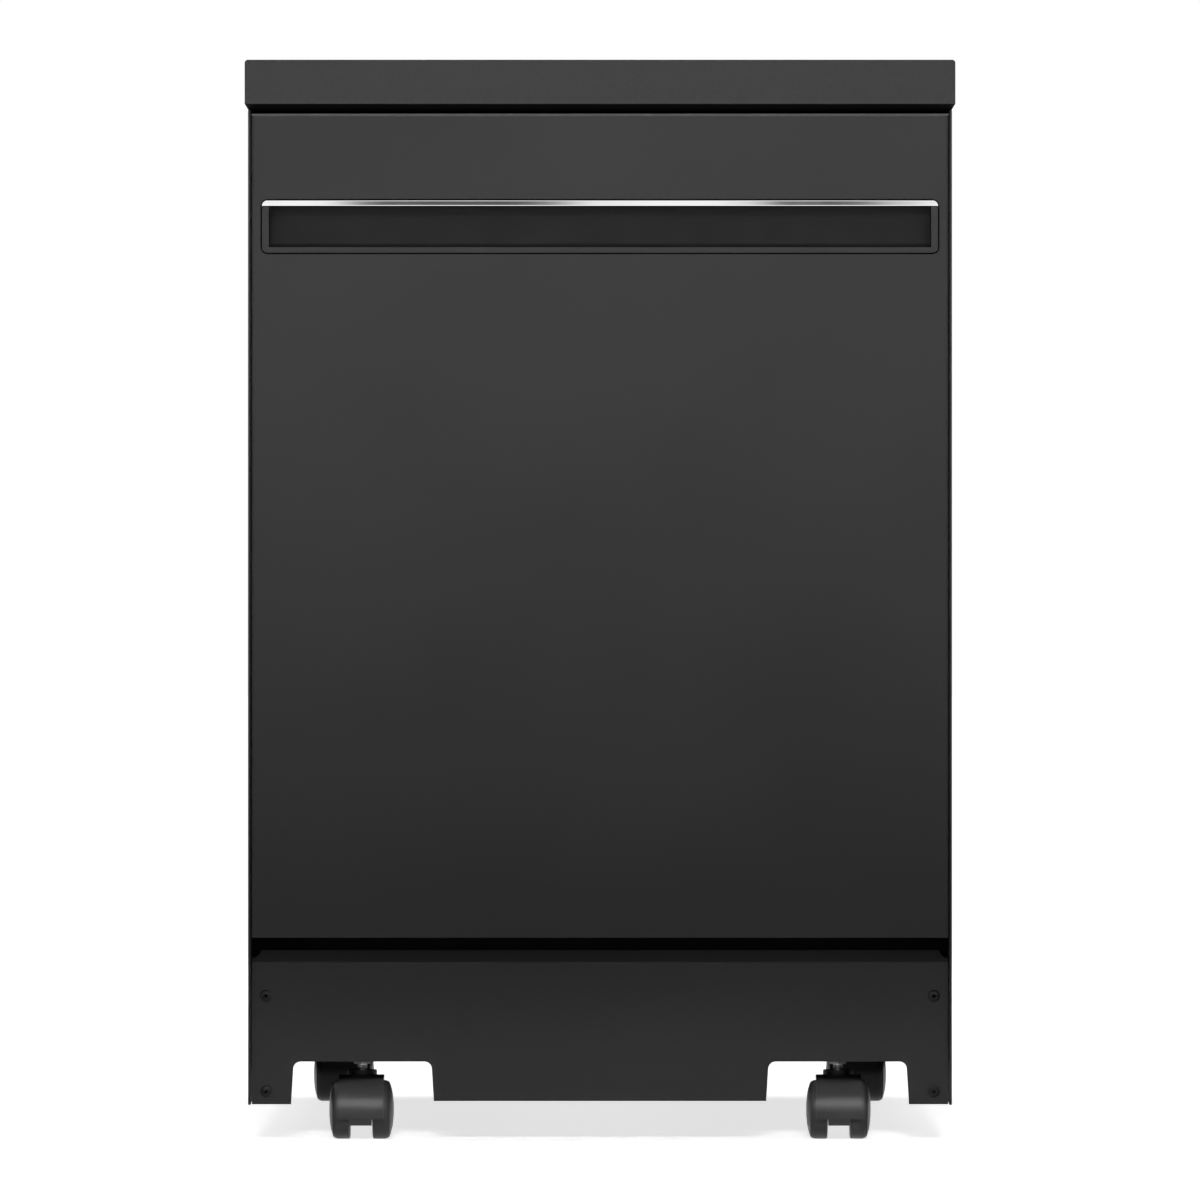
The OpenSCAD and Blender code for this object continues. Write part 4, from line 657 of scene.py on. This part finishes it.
class Smoother:
    """Rounds the shading of the CAD nodes, whose triangles come unjoined, and leaves their shape alone."""

    def __init__(self, angle: float) -> None:
        """Makes the node group: joined corners, and sharp shading only over edges past the angle."""
        self.group = bpy.data.node_groups.new("smooth_shading", "GeometryNodeTree")
        for way in ("INPUT", "OUTPUT"):
            self.group.interface.new_socket("Geometry", in_out=way, socket_type="NodeSocketGeometry")
        kinds = ("NodeGroupInput", "GeometryNodeMergeByDistance", "GeometryNodeSetShadeSmooth",
                 "GeometryNodeSetShadeSmooth", "NodeGroupOutput", "GeometryNodeInputMeshEdgeAngle",
                 "FunctionNodeCompare")
        start, merge, faces, edges, end, between, under = map(self.group.nodes.new, kinds)
        merge.inputs["Distance"].default_value = MERGE_DISTANCE * 5
        edges.domain = "EDGE"
        under.operation = "LESS_THAN"
        under.inputs[1].default_value = math.radians(angle)
        chain = (start, merge, faces, edges, end)
        for source, target in (*zip(chain, chain[1:]), (between, under)):
            self.group.links.new(source.outputs[0], target.inputs[0])
        self.group.links.new(under.outputs[0], edges.inputs["Shade Smooth"])

    def apply(self, node: bpy.types.Object) -> None:
        """Puts the shading on one CAD node."""
        node.modifiers.new("smooth_shading", "NODES").node_group = self.group


@dataclass
class Assembly:
    """What every sub-assembly does: it dresses its CAD nodes and builds its own small pieces."""

    smoother: Smoother

    def dress(self, finishes: Finish | Sequence[Finish], *nodes: str,
              smoother: Smoother | None = None) -> None:
        """Gives CAD nodes their finish, or one finish for each of their material slots.

        Args:
            finishes: The finish, or the finishes in the order of a node's slots.
            nodes: The nodes' names.
            smoother: What rounds their shading, where the usual angle would bend flat faces.
        """
        layers = (finishes,) if isinstance(finishes, Finish) else finishes
        for node in nodes:
            target = frame["nodes"][node]
            if not target.material_slots:
                target.data.materials.append(None)
            for number, slot in enumerate(target.material_slots):
                slot.link = "OBJECT"
                slot.material = layers[min(number, len(layers) - 1)].material()
            (smoother or self.smoother).apply(target)
            LOG.info("%s: %s", node, ", ".join(finish.name for finish in layers))

    def build(self) -> None:
        """Dresses the nodes and builds the pieces."""
        raise NotImplementedError


# ---- sub-assemblies


@dataclass
class Cabinet(Assembly):
    """Worktop, painted panels, kick plate and the fasteners that hold them."""

    flange_screw_inset: float = 0.009
    flange_screw_margin: float = 0.060
    flange_screws: int = 4
    kick_head_r: float = 0.0043
    kick_head_h: float = 0.0025
    kick_ring_shade: Pair = (0.0004, 0.0006)
    cross_shade_size: Point = (0.0034, 0.0014, 0.00045)
    cross_shade_depth: float = 0.0004
    seat: float = 0.0001
    grommet: float = 0.0028
    grommet_gap: float = 0.0004

    def build(self) -> None:
        """Dresses the panels, and adds painted shade on the kick plate screws, the back's screws and the grommets.
        """
        self.dress(LAMINATE, "worktop")
        self.dress(ENAMEL, "left_side_panel", "right_side_panel", "back_panel")
        self.dress(KICK_ENAMEL_SHADED, "kick_plate", "kick_plate_screws")
        self.dress(BLACK_PLASTIC, "hose_compartment")
        self.kick_screw_shade()
        self.back_screws()
        self.outlet_grommets()

    def kick_screw_shade(self) -> None:
        """Adds painted shade on the kick plate screws: near-black bottoms in their cross recesses, and a
        near-black ring round each head for the shadow of the dimple it sits in.
        """
        low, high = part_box("kick_plate_screws")
        radius = self.kick_head_r
        height, wall = self.kick_ring_shade
        shape = Shape("kick_screw_shade")
        for x in (low.x + radius, high.x - radius):
            for z in (low.z + radius, high.z - radius):
                face = place((x, low.y + self.kick_head_h, z), Facing.FRONT)
                # Painted shade: the ring round each head and the cross in its recess are near black, for the shade
                # there.
                shape.ring(radius + self.seat, height, wall, face)
                for turn in (0.0, math.pi / 2):
                    spot = place((x, low.y + self.cross_shade_depth, z), Facing.FRONT)
                    shape.block(self.cross_shade_size, spot @ Matrix.Rotation(turn, 4, "Z"), self.seat)
        shape.end(SHADE_BLACK, "cabinet", "black_enamel")

    def back_screws(self) -> None:
        """Adds the screws that hold the back panel to the side panels' flanges."""
        low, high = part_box("right_side_panel")
        margin = self.flange_screw_margin
        shape = Shape("back_panel_screws")
        for side in SIDES:
            for z in spaced(low.z + margin, high.z - margin, self.flange_screws):
                hex_screw(shape, (side * (high.x - self.flange_screw_inset), high.y, z), Facing.BACK)
        shape.end(ZINC, "cabinet", "galvanised_steel")

    def outlet_grommets(self) -> None:
        """Adds a soft ring round each outlet in the hose compartment."""
        for mount in frame["record"]["mounts"]:
            if mount["kind"] != "bore":
                continue
            x, y, z = mount["pos_m"]
            face = place((x, y + mount["dims"]["length_mm"] * MM / 2, z), Facing.BACK)
            shape = Shape(mount["name"] + "_grommet")
            shape.ring(mount["dims"]["r_mm"] * MM + self.grommet_gap, self.grommet, self.grommet, face)
            shape.end(RUBBER, "cabinet", "rubber_seal")


@dataclass
class Chassis(Assembly):
    """Base frame, counterweight and everything that hangs under the tub."""

    counterweight_bolt_x: float = 0.150
    counterweight_bolt_across: float = 0.016
    rail_underside: float = 0.0676
    stem_nut_across: float = 0.014
    stem_nut_h: float = 0.0036
    stem_nut_soft: float = 0.0006
    stem_r: float = 0.004
    thread_pitch: float = 0.00125
    thread_depth: float = 0.0004
    thread_crest: float = 0.35
    thread_clear: float = 0.0004

    def build(self) -> None:
        """Dresses the chassis and adds its nuts and bolts."""
        # Painted shade on the hinge brackets: they take the black chassis paint so that they stay dark where they
        # show under the door. The base frame's black is its paint.
        self.dress(CHASSIS_PAINT_AND_SHADE, "base_frame", "hinge_brackets")
        self.dress(STEM_ZINC_LIT, "caster_stems")
        self.dress(ZINC, "door_strike")
        self.dress(IRON, "counterweight")
        self.dress(MOTOR, "wash_pump", "drain_pump")
        self.dress(WHITE_PLASTIC, "inlet_valve")
        self.counterweight_bolts()
        self.stem_nuts()

    def counterweight_bolts(self) -> None:
        """Adds the two bolts that hold the counterweight to the rear cross rail."""
        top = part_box("counterweight")[1].z
        rail_y = next(j["pos_m"][1] for j in frame["joints"] if j["name"] == "caster_rear_left_swivel")
        shape = Shape("counterweight_bolts")
        for side in SIDES:
            hex_screw(shape, (side * self.counterweight_bolt_x, rail_y, top), Facing.UP,
                      self.counterweight_bolt_across)
        shape.end(ZINC, "cabinet", "galvanised_steel")

    def stem_nuts(self) -> None:
        """Adds a nut under the base frame round each caster's stem, and the thread that shows under it."""
        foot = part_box("caster_front_left_hood")[1].z + self.thread_clear
        nut_z = self.rail_underside - self.stem_nut_h
        pitch, crest_r = self.thread_pitch, self.stem_r + self.thread_depth
        turns = int((nut_z - foot) / pitch)
        thread = [(0.0, 0.0), (self.stem_r, 0.0)]
        for turn in range(turns):
            thread += [(crest_r, (turn + self.thread_crest) * pitch), (self.stem_r, (turn + 1.0) * pitch)]
        thread.append((0.0, turns * pitch))
        shape = Shape("stem_nuts")
        for joint in frame["joints"]:
            if not joint["name"].endswith("_swivel"):
                continue
            x, y, _ = joint["pos_m"]
            shape.hexagon(self.stem_nut_across, self.stem_nut_h, place((x, y, nut_z)), self.stem_nut_soft)
            shape.turned(thread, place((x, y, foot)))
        shape.end(ZINC, "cabinet", "galvanised_steel")


@dataclass
class Casters(Assembly):
    """Four twin-wheel swivel casters."""

    def build(self) -> None:
        """Dresses the hoods and wheels."""
        for corner in ("front_left", "front_right", "rear_left", "rear_right"):
            self.dress(CASTER_PLASTIC, f"caster_{corner}_hood")
            self.dress((CASTER_PLASTIC, ZINC), f"caster_{corner}_wheels")


@dataclass
class Door(Assembly):
    """Outer panel with its grip, console with buttons, and the liner with dispenser and vent."""

    liner_screw_inset: float = 0.0067
    liner_screw_rise: float = 0.060
    liner_screws: int = 6
    lamp_count: int = 8
    lamp_r: float = 0.0013
    lamp_edge_h: float = 0.0002
    lamp_h: float = 0.0003
    lamp_sunk: float = 0.0001
    buttons: int = 5
    mark_size: Point = (0.009, 0.0009, 0.0003)
    mark_soft: float = 0.0001
    mark_sunk: float = 0.00005
    trim_angle: float = 8.0
    handle_corner: float = 0.005
    gap_shade_w: float = 0.0012
    gap_shade_rise: float = 0.0003
    release_shift: float = -0.001
    release_size: Point = (0.013, 0.026, 0.0050)
    release_rise: float = 0.006
    release_sunk: float = 0.0010
    release_soft: float = 0.0016
    level_profile: tuple[Pair, ...] = (
        (0.0, 0.0), (0.0052, 0.0), (0.0052, 0.0008), (0.0040, 0.0018), (0.0, 0.0024))
    level_drop: float = 0.030
    level_sunk: float = 0.0006

    def build(self) -> None:
        """Dresses the door's nodes and adds its screws, lamps, marks and the painted shade round the handle."""
        self.dress(ENAMEL, "door_outer_panel")
        self.dress(CONSOLE_PLASTIC, "control_console")
        self.dress(WINDOW, "indicator_lens")
        self.dress(POCKET_PLASTIC_SHADED, "handle_pocket")
        self.dress(CHROME, "handle_trim", smoother=Smoother(self.trim_angle))
        self.dress(STAINLESS, "door_inner_panel")
        self.dress(RUBBER, "door_bottom_seal")
        self.dress(ZINC, "hinge_arms")
        self.dress((BLACK_PLASTIC, ZINC), "latch_housing")
        self.dress(GREY_PLASTIC, "dispenser_body", "dispenser_lid", "vent_cover")
        self.dress(DARK_GREY_PLASTIC, "rinse_aid_cap")
        self.painted_shade_black()
        for number in range(1, self.buttons + 1):
            self.dress(BUTTON_PLASTIC, f"button_{number}")
            self.button_mark(number)
        self.liner_fasteners()
        self.indicator_lamps()
        self.lid_release()

    def painted_shade_black(self) -> None:
        """Adds painted shade: a thin near-black frame in the gap between the door and the handle's frame, where
        shade falls.
        """
        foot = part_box("handle_pocket")[0].z
        low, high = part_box("handle_trim")
        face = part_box("door_outer_panel")[0].y
        spot = place(((low.x + high.x) / 2, face, (high.z + foot) / 2), Facing.FRONT)
        shape = Shape("painted_shade_black")
        shape.frame((high.x - low.x, high.z - foot), self.handle_corner, self.gap_shade_w,
                    self.gap_shade_rise, spot)
        shape.end(SHADE_BLACK, "door", "rubber_seal")

    def liner_fasteners(self) -> None:
        """Adds the screws that hold the liner to the outer panel, down both edges."""
        low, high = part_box("door_inner_panel")
        rise = self.liner_screw_rise
        shape = Shape("liner_screws")
        for side in SIDES:
            for z in spaced(low.z + rise, high.z - rise, self.liner_screws):
                star_screw(shape, (side * (high.x - self.liner_screw_inset), high.y, z), Facing.BACK)
        shape.end(STAINLESS, "door", "stainless")

    def indicator_lamps(self) -> None:
        """Adds a row of lamps that show through the window in the console."""
        low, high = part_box("indicator_lens")
        profile = [(0.0, 0.0), (self.lamp_r, 0.0), (self.lamp_r, self.lamp_edge_h), (0.0, self.lamp_h)]
        shape = Shape("indicator_lamps")
        for x in spaced(low.x, high.x, self.lamp_count + 2)[1:-1]:
            shape.turned(profile, place((x, (low.y + high.y) / 2, high.z - self.lamp_sunk)))
        shape.end(LAMP, "door", "white_plastic")

    def button_mark(self, number: int) -> None:
        """Adds a raised tactile bar on a button."""
        low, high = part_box(f"button_{number}")
        spot = place(((low.x + high.x) / 2, (low.y + high.y) / 2, high.z - self.mark_sunk))
        shape = Shape(f"button_{number}_mark")
        shape.block(self.mark_size, spot, self.mark_soft)
        shape.end(LAMP, f"button_{number}", "white_plastic")

    def lid_release(self) -> None:
        """Adds the release key beside the dispenser's lid, and the rinse aid's level window."""
        low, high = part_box("dispenser_lid")
        x = (high.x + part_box("rinse_aid_cap")[0].x) / 2 + self.release_shift
        z = (low.z + high.z) / 2
        spot = place((x, low.y - self.release_sunk, z + self.release_rise), Facing.BACK)
        key = Shape("lid_release")
        key.block(self.release_size, spot, self.release_soft, 3)
        key.end(DARK_GREY_PLASTIC, "door", "grey_plastic")
        spot = place((x, low.y - self.level_sunk, z - self.level_drop), Facing.BACK)
        window = Shape("rinse_aid_level")
        window.turned(self.level_profile, spot)
        window.end(WINDOW, "door", "indicator_window")


@dataclass
class Tub(Assembly):
    """Stainless tub with its gasket, sump, filter, heater and fixed wash pipes."""

    pad_size: Point = (0.480, 0.0030, 0.560)
    pad_low: float = 0.260
    pad_gap: float = 0.0001
    pad_soft: float = 0.0006
    plate_size: Point = (0.0010, 0.104, 0.036)
    plate_soft: float = 0.0003
    plate_gap: float = 0.004
    rivet_inset: float = 0.009
    rivet_profile: tuple[Pair, ...] = ((0.0, 0.0), (0.0038, 0.0), (0.0032, 0.0009), (0.0, 0.0013))
    heater_tube_r: float = 0.004
    heater_rise: float = 0.018
    heater_leg_x: float = 0.02488
    clip_angles: tuple[float, ...] = (-50.0, 70.0, 190.0)
    clip_w: float = 0.006
    clip_wall: float = 0.0009
    clip_leg: float = 0.0012
    clip_leg_soft: float = 0.0002
    clip_foot: Point = (0.014, 0.008, 0.0010)
    clip_foot_soft: float = 0.0003
    leg_nut_r: float = 0.0092
    leg_nut_h: float = 0.006
    leg_nut_soft: float = 0.0006
    leg_washer: Pair = (0.0018, 0.0075)

    def build(self) -> None:
        """Dresses the tub and adds its pad, plates, rivets, clips and nuts."""
        self.dress(STAINLESS_UPRIGHT, "tub")
        self.dress(RUBBER, "tub_gasket")
        self.dress(MESH_STEEL, "filter_basket")
        self.dress(HEATER, "heating_element")
        self.dress(GREY_PLASTIC, "sump", "spray_manifold", "top_nozzle", "float_cap")
        self.sound_pad()
        self.roller_plates()
        self.heater_clips()
        self.heater_nuts()

    def sound_pad(self) -> None:
        """Adds the tarred felt pad that deadens the tub's back wall, and shows through the hose outlets."""
        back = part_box("tub")[1].y + self.pad_gap
        shape = Shape("sound_pad")
        shape.block(self.pad_size, place((0.0, back + self.pad_size[1] / 2, self.pad_low)), self.pad_soft)
        shape.end(FELT, "cabinet", "rubber_seal")

    def roller_plates(self) -> None:
        """Adds the plates that stiffen the tub's walls behind the upper rack's rollers, with their rivets."""
        joints = {joint["name"]: joint.get("pos_m") for joint in frame["joints"]}
        _, front, axle_z = joints["rack_rollers_front_spin"]
        y = (front + joints["rack_rollers_rear_spin"][1]) / 2
        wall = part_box("rack_rollers_front")[1].x + self.plate_gap
        thick, long, tall = self.plate_size
        shape = Shape("roller_plates")
        for side, facing in zip(SIDES, (Facing.RIGHT, Facing.LEFT)):
            plate = place((side * (wall - thick / 2), y, axle_z - tall / 2))
            shape.block(self.plate_size, plate, self.plate_soft)
            for end in SIDES:
                rivet = (side * (wall - thick), y + end * (long / 2 - self.rivet_inset), axle_z)
                shape.turned(self.rivet_profile, place(rivet, facing))
        shape.end(ZINC, "cabinet", "galvanised_steel")

    def heater_clips(self) -> None:
        """Adds the clips that hold the heater's ring over the floor."""
        low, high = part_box("heating_element")
        tube_r = self.heater_tube_r
        radius, height = (high.x - low.x) / 2 - tube_r, high.z - tube_r
        floor = height - self.heater_rise
        leg = (self.clip_leg, self.clip_w, height - tube_r - floor)
        shape = Shape("heater_clips")
        for angle in self.clip_angles:
            turn = place((0.0, low.y + radius + tube_r, 0.0)) @ Matrix.Rotation(math.radians(angle), 4, "Z")
            tube = turn @ place((radius, 0.0, height)) @ Matrix.Rotation(math.pi / 2, 4, "X")
            foot = turn @ place((radius, 0.0, floor))
            shape.ring(tube_r, self.clip_w, self.clip_wall, tube @ place((0.0, 0.0, -self.clip_w / 2)), 24)
            shape.block(leg, foot, self.clip_leg_soft)
            shape.block(self.clip_foot, foot, self.clip_foot_soft)
        shape.end(STAINLESS, "cabinet", "stainless")

    def heater_nuts(self) -> None:
        """Adds the nuts and washers round the heater's legs."""
        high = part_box("heating_element")[1]
        floor = high.z - self.heater_tube_r - self.heater_rise
        across = self.leg_nut_r * 2 * math.cos(math.pi / HEXAGON)
        shape = Shape("heater_nuts")
        for side in SIDES:
            spot = place((side * self.heater_leg_x, high.y - self.heater_tube_r, floor))
            shape.hexagon(across, self.leg_nut_h, spot, self.leg_nut_soft)
            shape.ring(self.heater_tube_r, *self.leg_washer, spot)
        shape.end(ZINC, "cabinet", "galvanised_steel")


@dataclass
class Racks(Assembly):
    """Coated wire racks with their rails, wheels, rollers, arms and the silverware basket."""

    tip_r: float = 0.0022
    tip_h: float = 0.0060
    tip_lean: float = 0.008
    tip_steps: int = 12
    tines_in_row: int = 8
    lower_tine_x: Pair = (-0.214, 0.144)
    lower_row_pitch: float = 0.042
    lower_rows: int = 8
    lower_tip_z: float = 0.3346
    upper_tine_y: Pair = (-0.210, 0.130)
    upper_rows: int = 4
    upper_spread: float = 0.260
    upper_tip_z: float = 0.6122
    rim_r: float = 0.0025
    rim_heights: tuple[tuple[str, float], ...] = (("lower_rack", 0.396), ("upper_rack", 0.679))
    grip_size: Point = (0.120, 0.010, 0.013)
    grip_drop: float = 0.0085
    grip_soft: float = 0.0030
    lip_size: Point = (0.112, 0.0034, 0.016)
    lip_forward: float = 0.0028
    lip_drop: float = 0.020
    lip_soft: float = 0.0014

    def build(self) -> None:
        """Dresses the racks and adds the caps on their tines and the grips on their rims."""
        self.dress((RACK_COATING, GREY_PLASTIC), "upper_rack", "lower_rack")
        self.dress(STAINLESS, "upper_rack_rails")
        self.dress(GREY_PLASTIC, "upper_feed_tube", "upper_spray_arm", "lower_spray_arm",
                   "lower_rack_wheels_front", "lower_rack_wheels_rear", "silverware_basket")
        self.dress(WHITE_PLASTIC, "rack_rollers_front", "rack_rollers_rear")
        self.tine_caps("lower", self.lower_tips())
        self.tine_caps("upper", self.upper_tips())
        for rack, rim_z in self.rim_heights:
            self.rack_grip(rack, rim_z)

    def lower_tips(self) -> Iterable[Point]:
        """Gives the ends of the lower rack's tines, row by row."""
        low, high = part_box("lower_rack")
        middle = (low.y + high.y) / 2 + self.tip_lean
        half = (self.lower_rows - 1) / 2 * self.lower_row_pitch
        for y in spaced(middle - half, middle + half, self.lower_rows):
            for x in spaced(*self.lower_tine_x, self.tines_in_row):
                yield x, y, self.lower_tip_z

    def upper_tips(self) -> Iterable[Point]:
        """Gives the ends of the upper rack's tines, row by row."""
        for foot in spaced(-self.upper_spread / 2, self.upper_spread / 2, self.upper_rows):
            for y in spaced(*self.upper_tine_y, self.tines_in_row):
                yield foot + math.copysign(self.tip_lean, foot), y, self.upper_tip_z

    def tine_caps(self, side: str, tips: Iterable[Point]) -> None:
        """Adds the domes of thicker coating on the ends of one rack's tines."""
        r, h = self.tip_r, self.tip_h
        profile = [(0.0, -h * 0.7), (r * 0.72, -h * 0.7), (r, -h * 0.3), (r, 0.0), (r * 0.7, h * 0.22),
                   (0.0, h * 0.32)]
        shape = Shape(f"{side}_tine_caps")
        for tip in tips:
            shape.turned(profile, place(tip), self.tip_steps)
        shape.end(RACK_COATING, f"{side}_rack", "rack_coating")

    def rack_grip(self, rack: str, rim_z: float) -> None:
        """Adds the moulded grip that clips over the middle of a rack's front rim."""
        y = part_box(rack)[0].y + self.rim_r
        shape = Shape(rack + "_grip")
        shape.block(self.grip_size, place((0.0, y, rim_z - self.grip_drop)), self.grip_soft, 4)
        lip = place((0.0, y - self.lip_forward, rim_z - self.lip_drop))
        shape.block(self.lip_size, lip, self.lip_soft, 3)
        shape.end(GREY_PLASTIC, rack, "grey_plastic")


# ---- studio


@dataclass(frozen=True)
class SoftBox:
    """A soft lamp: its middle, what it faces, its width and height, its power in watts and its spread."""

    name: str
    at: Point
    aim: Point
    size: Pair
    power: float
    spread: float = 180.0
    glossy: bool = True

    def hang(self) -> None:
        """Puts the lamp in the studio, out of the camera's sight."""
        data = bpy.data.lights.new(self.name, "AREA")
        data.shape = "RECTANGLE"
        data.size, data.size_y = self.size
        data.energy = self.power
        data.spread = math.radians(self.spread)
        lamp = bpy.data.objects.new(self.name, data)
        lamp.location = self.at
        lamp.rotation_euler = (Vector(self.aim) - Vector(self.at)).to_track_quat("-Z", "Y").to_euler()
        lamp.visible_camera = False
        lamp.visible_glossy = self.glossy
        bpy.context.scene.collection.objects.link(lamp)


@dataclass
class Studio:
    """Pale floor, white surroundings, soft lamps and the camera of the photograph."""

    camera_distance: float = 7.30
    camera_z: float = 0.475
    frame_w: float = 1.0292
    frame_middle_z: float = 0.4664
    sensor: float = 36.0
    view_depth: float = 60.0
    ambient: float = 0.08
    floor_half: float = 30.0
    floor_colour: Colour = (0.80, 0.80, 0.80)
    floor_bounce: float = 0.12
    floor_lift: float = 0.72
    floor_fade: Pair = (1.0, 3.2)
    card_half: Pair = (0.42, 0.10)
    card_middle: Point = (0.0, -3.35, 0.943)
    card_tones: tuple[Pair, ...] = (
        (0.00, 1.0), (0.110, 1.0), (0.158, 0.10), (0.39, 0.10), (0.414, 0.21), (0.50, 0.90), (0.586, 1.0),
        (0.66, 1.0), (0.702, 0.80), (0.775, 0.12), (0.86, 0.12), (0.946, 0.65), (0.985, 1.0))
    lamps: tuple[SoftBox, ...] = (
        SoftBox("top_box", (0.0, -0.98, 1.66), (0.0, -0.354, 0.85), (1.9, 0.25), 6.4),
        SoftBox("front_box", (0.0, -1.95, 0.80), (0.0, -0.354, 0.80), (1.9, 0.30), 4.6, 60.0, False),
        SoftBox("low_box", (0.0, -1.25, 0.44), (0.0, -0.30, 0.025), (1.5, 0.10), 0.36, 12.0),
        SoftBox("key_box", (0.0, -3.3, 1.55), (0.0, -0.30, 0.04), (1.6, 0.35), 14.0),
        SoftBox("left_box", (-2.3, 1.2, 1.5), (0.0, 0.1, 0.5), (1.6, 1.6), 14.0),
        SoftBox("right_box", (2.3, 1.2, 1.5), (0.0, 0.1, 0.5), (1.6, 1.6), 14.0),
        SoftBox("back_box", (0.0, 2.8, 1.6), (0.0, 0.0, 0.5), (2.2, 1.6), 36.0))

    def build(self) -> None:
        """Sets up the world, the floor, the card, the lamps and the camera."""
        scene = bpy.context.scene
        scene.view_settings.view_transform = "Standard"
        self.world(scene)
        self.floor()
        self.strip_card()
        for lamp in self.lamps:
            lamp.hang()
        self.camera(scene)

    def seen_directly(self, graph: Graph) -> Socket:
        """Gives 1 for rays from the camera, from gloss and through glass, and 0 for the rest."""
        path = graph.add("LightPath").outputs
        value = path["Is Camera Ray"]
        for name in ("Is Glossy Ray", "Is Transmission Ray"):
            either = graph.add("Math")
            either.operation = "MAXIMUM"
            graph.feed(either.inputs[0], value)
            graph.feed(either.inputs[1], path[name])
            value = either.outputs[0]
        return value

    def world(self, scene: bpy.types.Scene) -> None:
        """Makes the surroundings white to look at, and dimmer as a light."""
        world = bpy.data.worlds.new("studio")
        scene.world = world
        graph = Graph(world, "World")
        strength = graph.remap(self.seen_directly(graph), (0.0, 1.0), (self.ambient, 1.0))
        background = graph.add("Background", Color=(1.0, 1.0, 1.0, 1.0), Strength=strength)
        graph.feed(graph.surface, background.outputs[0])

    def card(self, name: str, half: Pair) -> tuple[bpy.types.Object, Graph]:
        """Makes a flat card, and starts its material.

        Args:
            name: The card's name.
            half: Half of its width and of its height.

        Returns:
            The card, and the nodes of its material.
        """
        grid = bmesh.new()
        bmesh.ops.create_grid(grid, x_segments=1, y_segments=1, size=1.0)
        bmesh.ops.scale(grid, vec=(*half, 1.0), verts=grid.verts)
        data = bpy.data.meshes.new(name)
        grid.to_mesh(data)
        grid.free()
        material = bpy.data.materials.new("studio_" + name)
        data.materials.append(material)
        card = bpy.data.objects.new(name, data)
        bpy.context.scene.collection.objects.link(card)
        return card, Graph(material)

    def floor(self) -> None:
        """Lays the pale floor: it keeps the shadow, looks white elsewhere and throws little light back."""
        floor, graph = self.card("floor", (self.floor_half, self.floor_half))
        seen = self.seen_directly(graph)
        tone = graph.blend(seen, (self.floor_bounce,) * 3, self.floor_colour)
        away = graph.add("VectorMath", Vector=graph.coordinates())
        away.operation = "LENGTH"
        fade = graph.remap(away.outputs["Value"], self.floor_fade, (self.floor_lift, 1.0))
        lift = graph.add("MapRange", Value=seen, To_Max=fade)
        both = graph.add("AddShader")
        graph.feed(both.inputs[0], graph.add("BsdfDiffuse", Color=tone).outputs[0])
        graph.feed(both.inputs[1], graph.add("Emission", Strength=lift.outputs[0]).outputs[0])
        graph.feed(graph.surface, both.outputs[0])

    def strip_card(self) -> None:
        """Stands a card of light and dark bands in front, which only the bright trim strip mirrors."""
        card, graph = self.card("strip_card", self.card_half)
        source = graph.add("TexCoord").outputs["Generated"]
        across = graph.add("SeparateXYZ", Vector=source).outputs[0]
        bands = graph.add("ValToRGB", Fac=across)
        ramp = bands.color_ramp
        ramp.interpolation = "EASE"
        ramp.elements.remove(ramp.elements[1])
        for number, (position, tone) in enumerate(self.card_tones):
            band = ramp.elements.new(position) if number else ramp.elements[0]
            band.position, band.color = position, (tone, tone, tone, 1.0)
        graph.feed(graph.surface, graph.add("Emission", Color=bands.outputs["Color"]).outputs[0])
        card.location = self.card_middle
        card.rotation_euler = (math.pi / 2, 0.0, 0.0)
        card.visible_camera = card.visible_diffuse = card.visible_shadow = False

    def camera(self, scene: bpy.types.Scene) -> None:
        """Sets up the level camera straight in front."""
        front = CAD_BOX[0][1]
        data = bpy.data.cameras.new("camera")
        data.sensor_width = self.sensor
        data.lens = self.sensor * self.camera_distance / self.frame_w
        data.shift_y = (self.frame_middle_z - self.camera_z) / self.frame_w
        data.clip_end = self.view_depth
        camera = bpy.data.objects.new("camera", data)
        camera.location = (0.0, front - self.camera_distance, self.camera_z)
        camera.rotation_euler = (math.pi / 2, 0.0, 0.0)
        scene.collection.objects.link(camera)
        scene.camera = camera


def main() -> None:
    """Dresses and builds the machine, sub-assembly by sub-assembly, and sets up the studio."""
    logging.basicConfig(level=logging.INFO, format="%(message)s")
    smoother = Smoother(SMOOTH_ANGLE)
    for assembly in (Cabinet, Chassis, Casters, Door, Tub, Racks):
        LOG.info("-- %s", assembly.__name__)
        assembly(smoother).build()
    Studio().build()


if __name__ == "__main__":
    main()
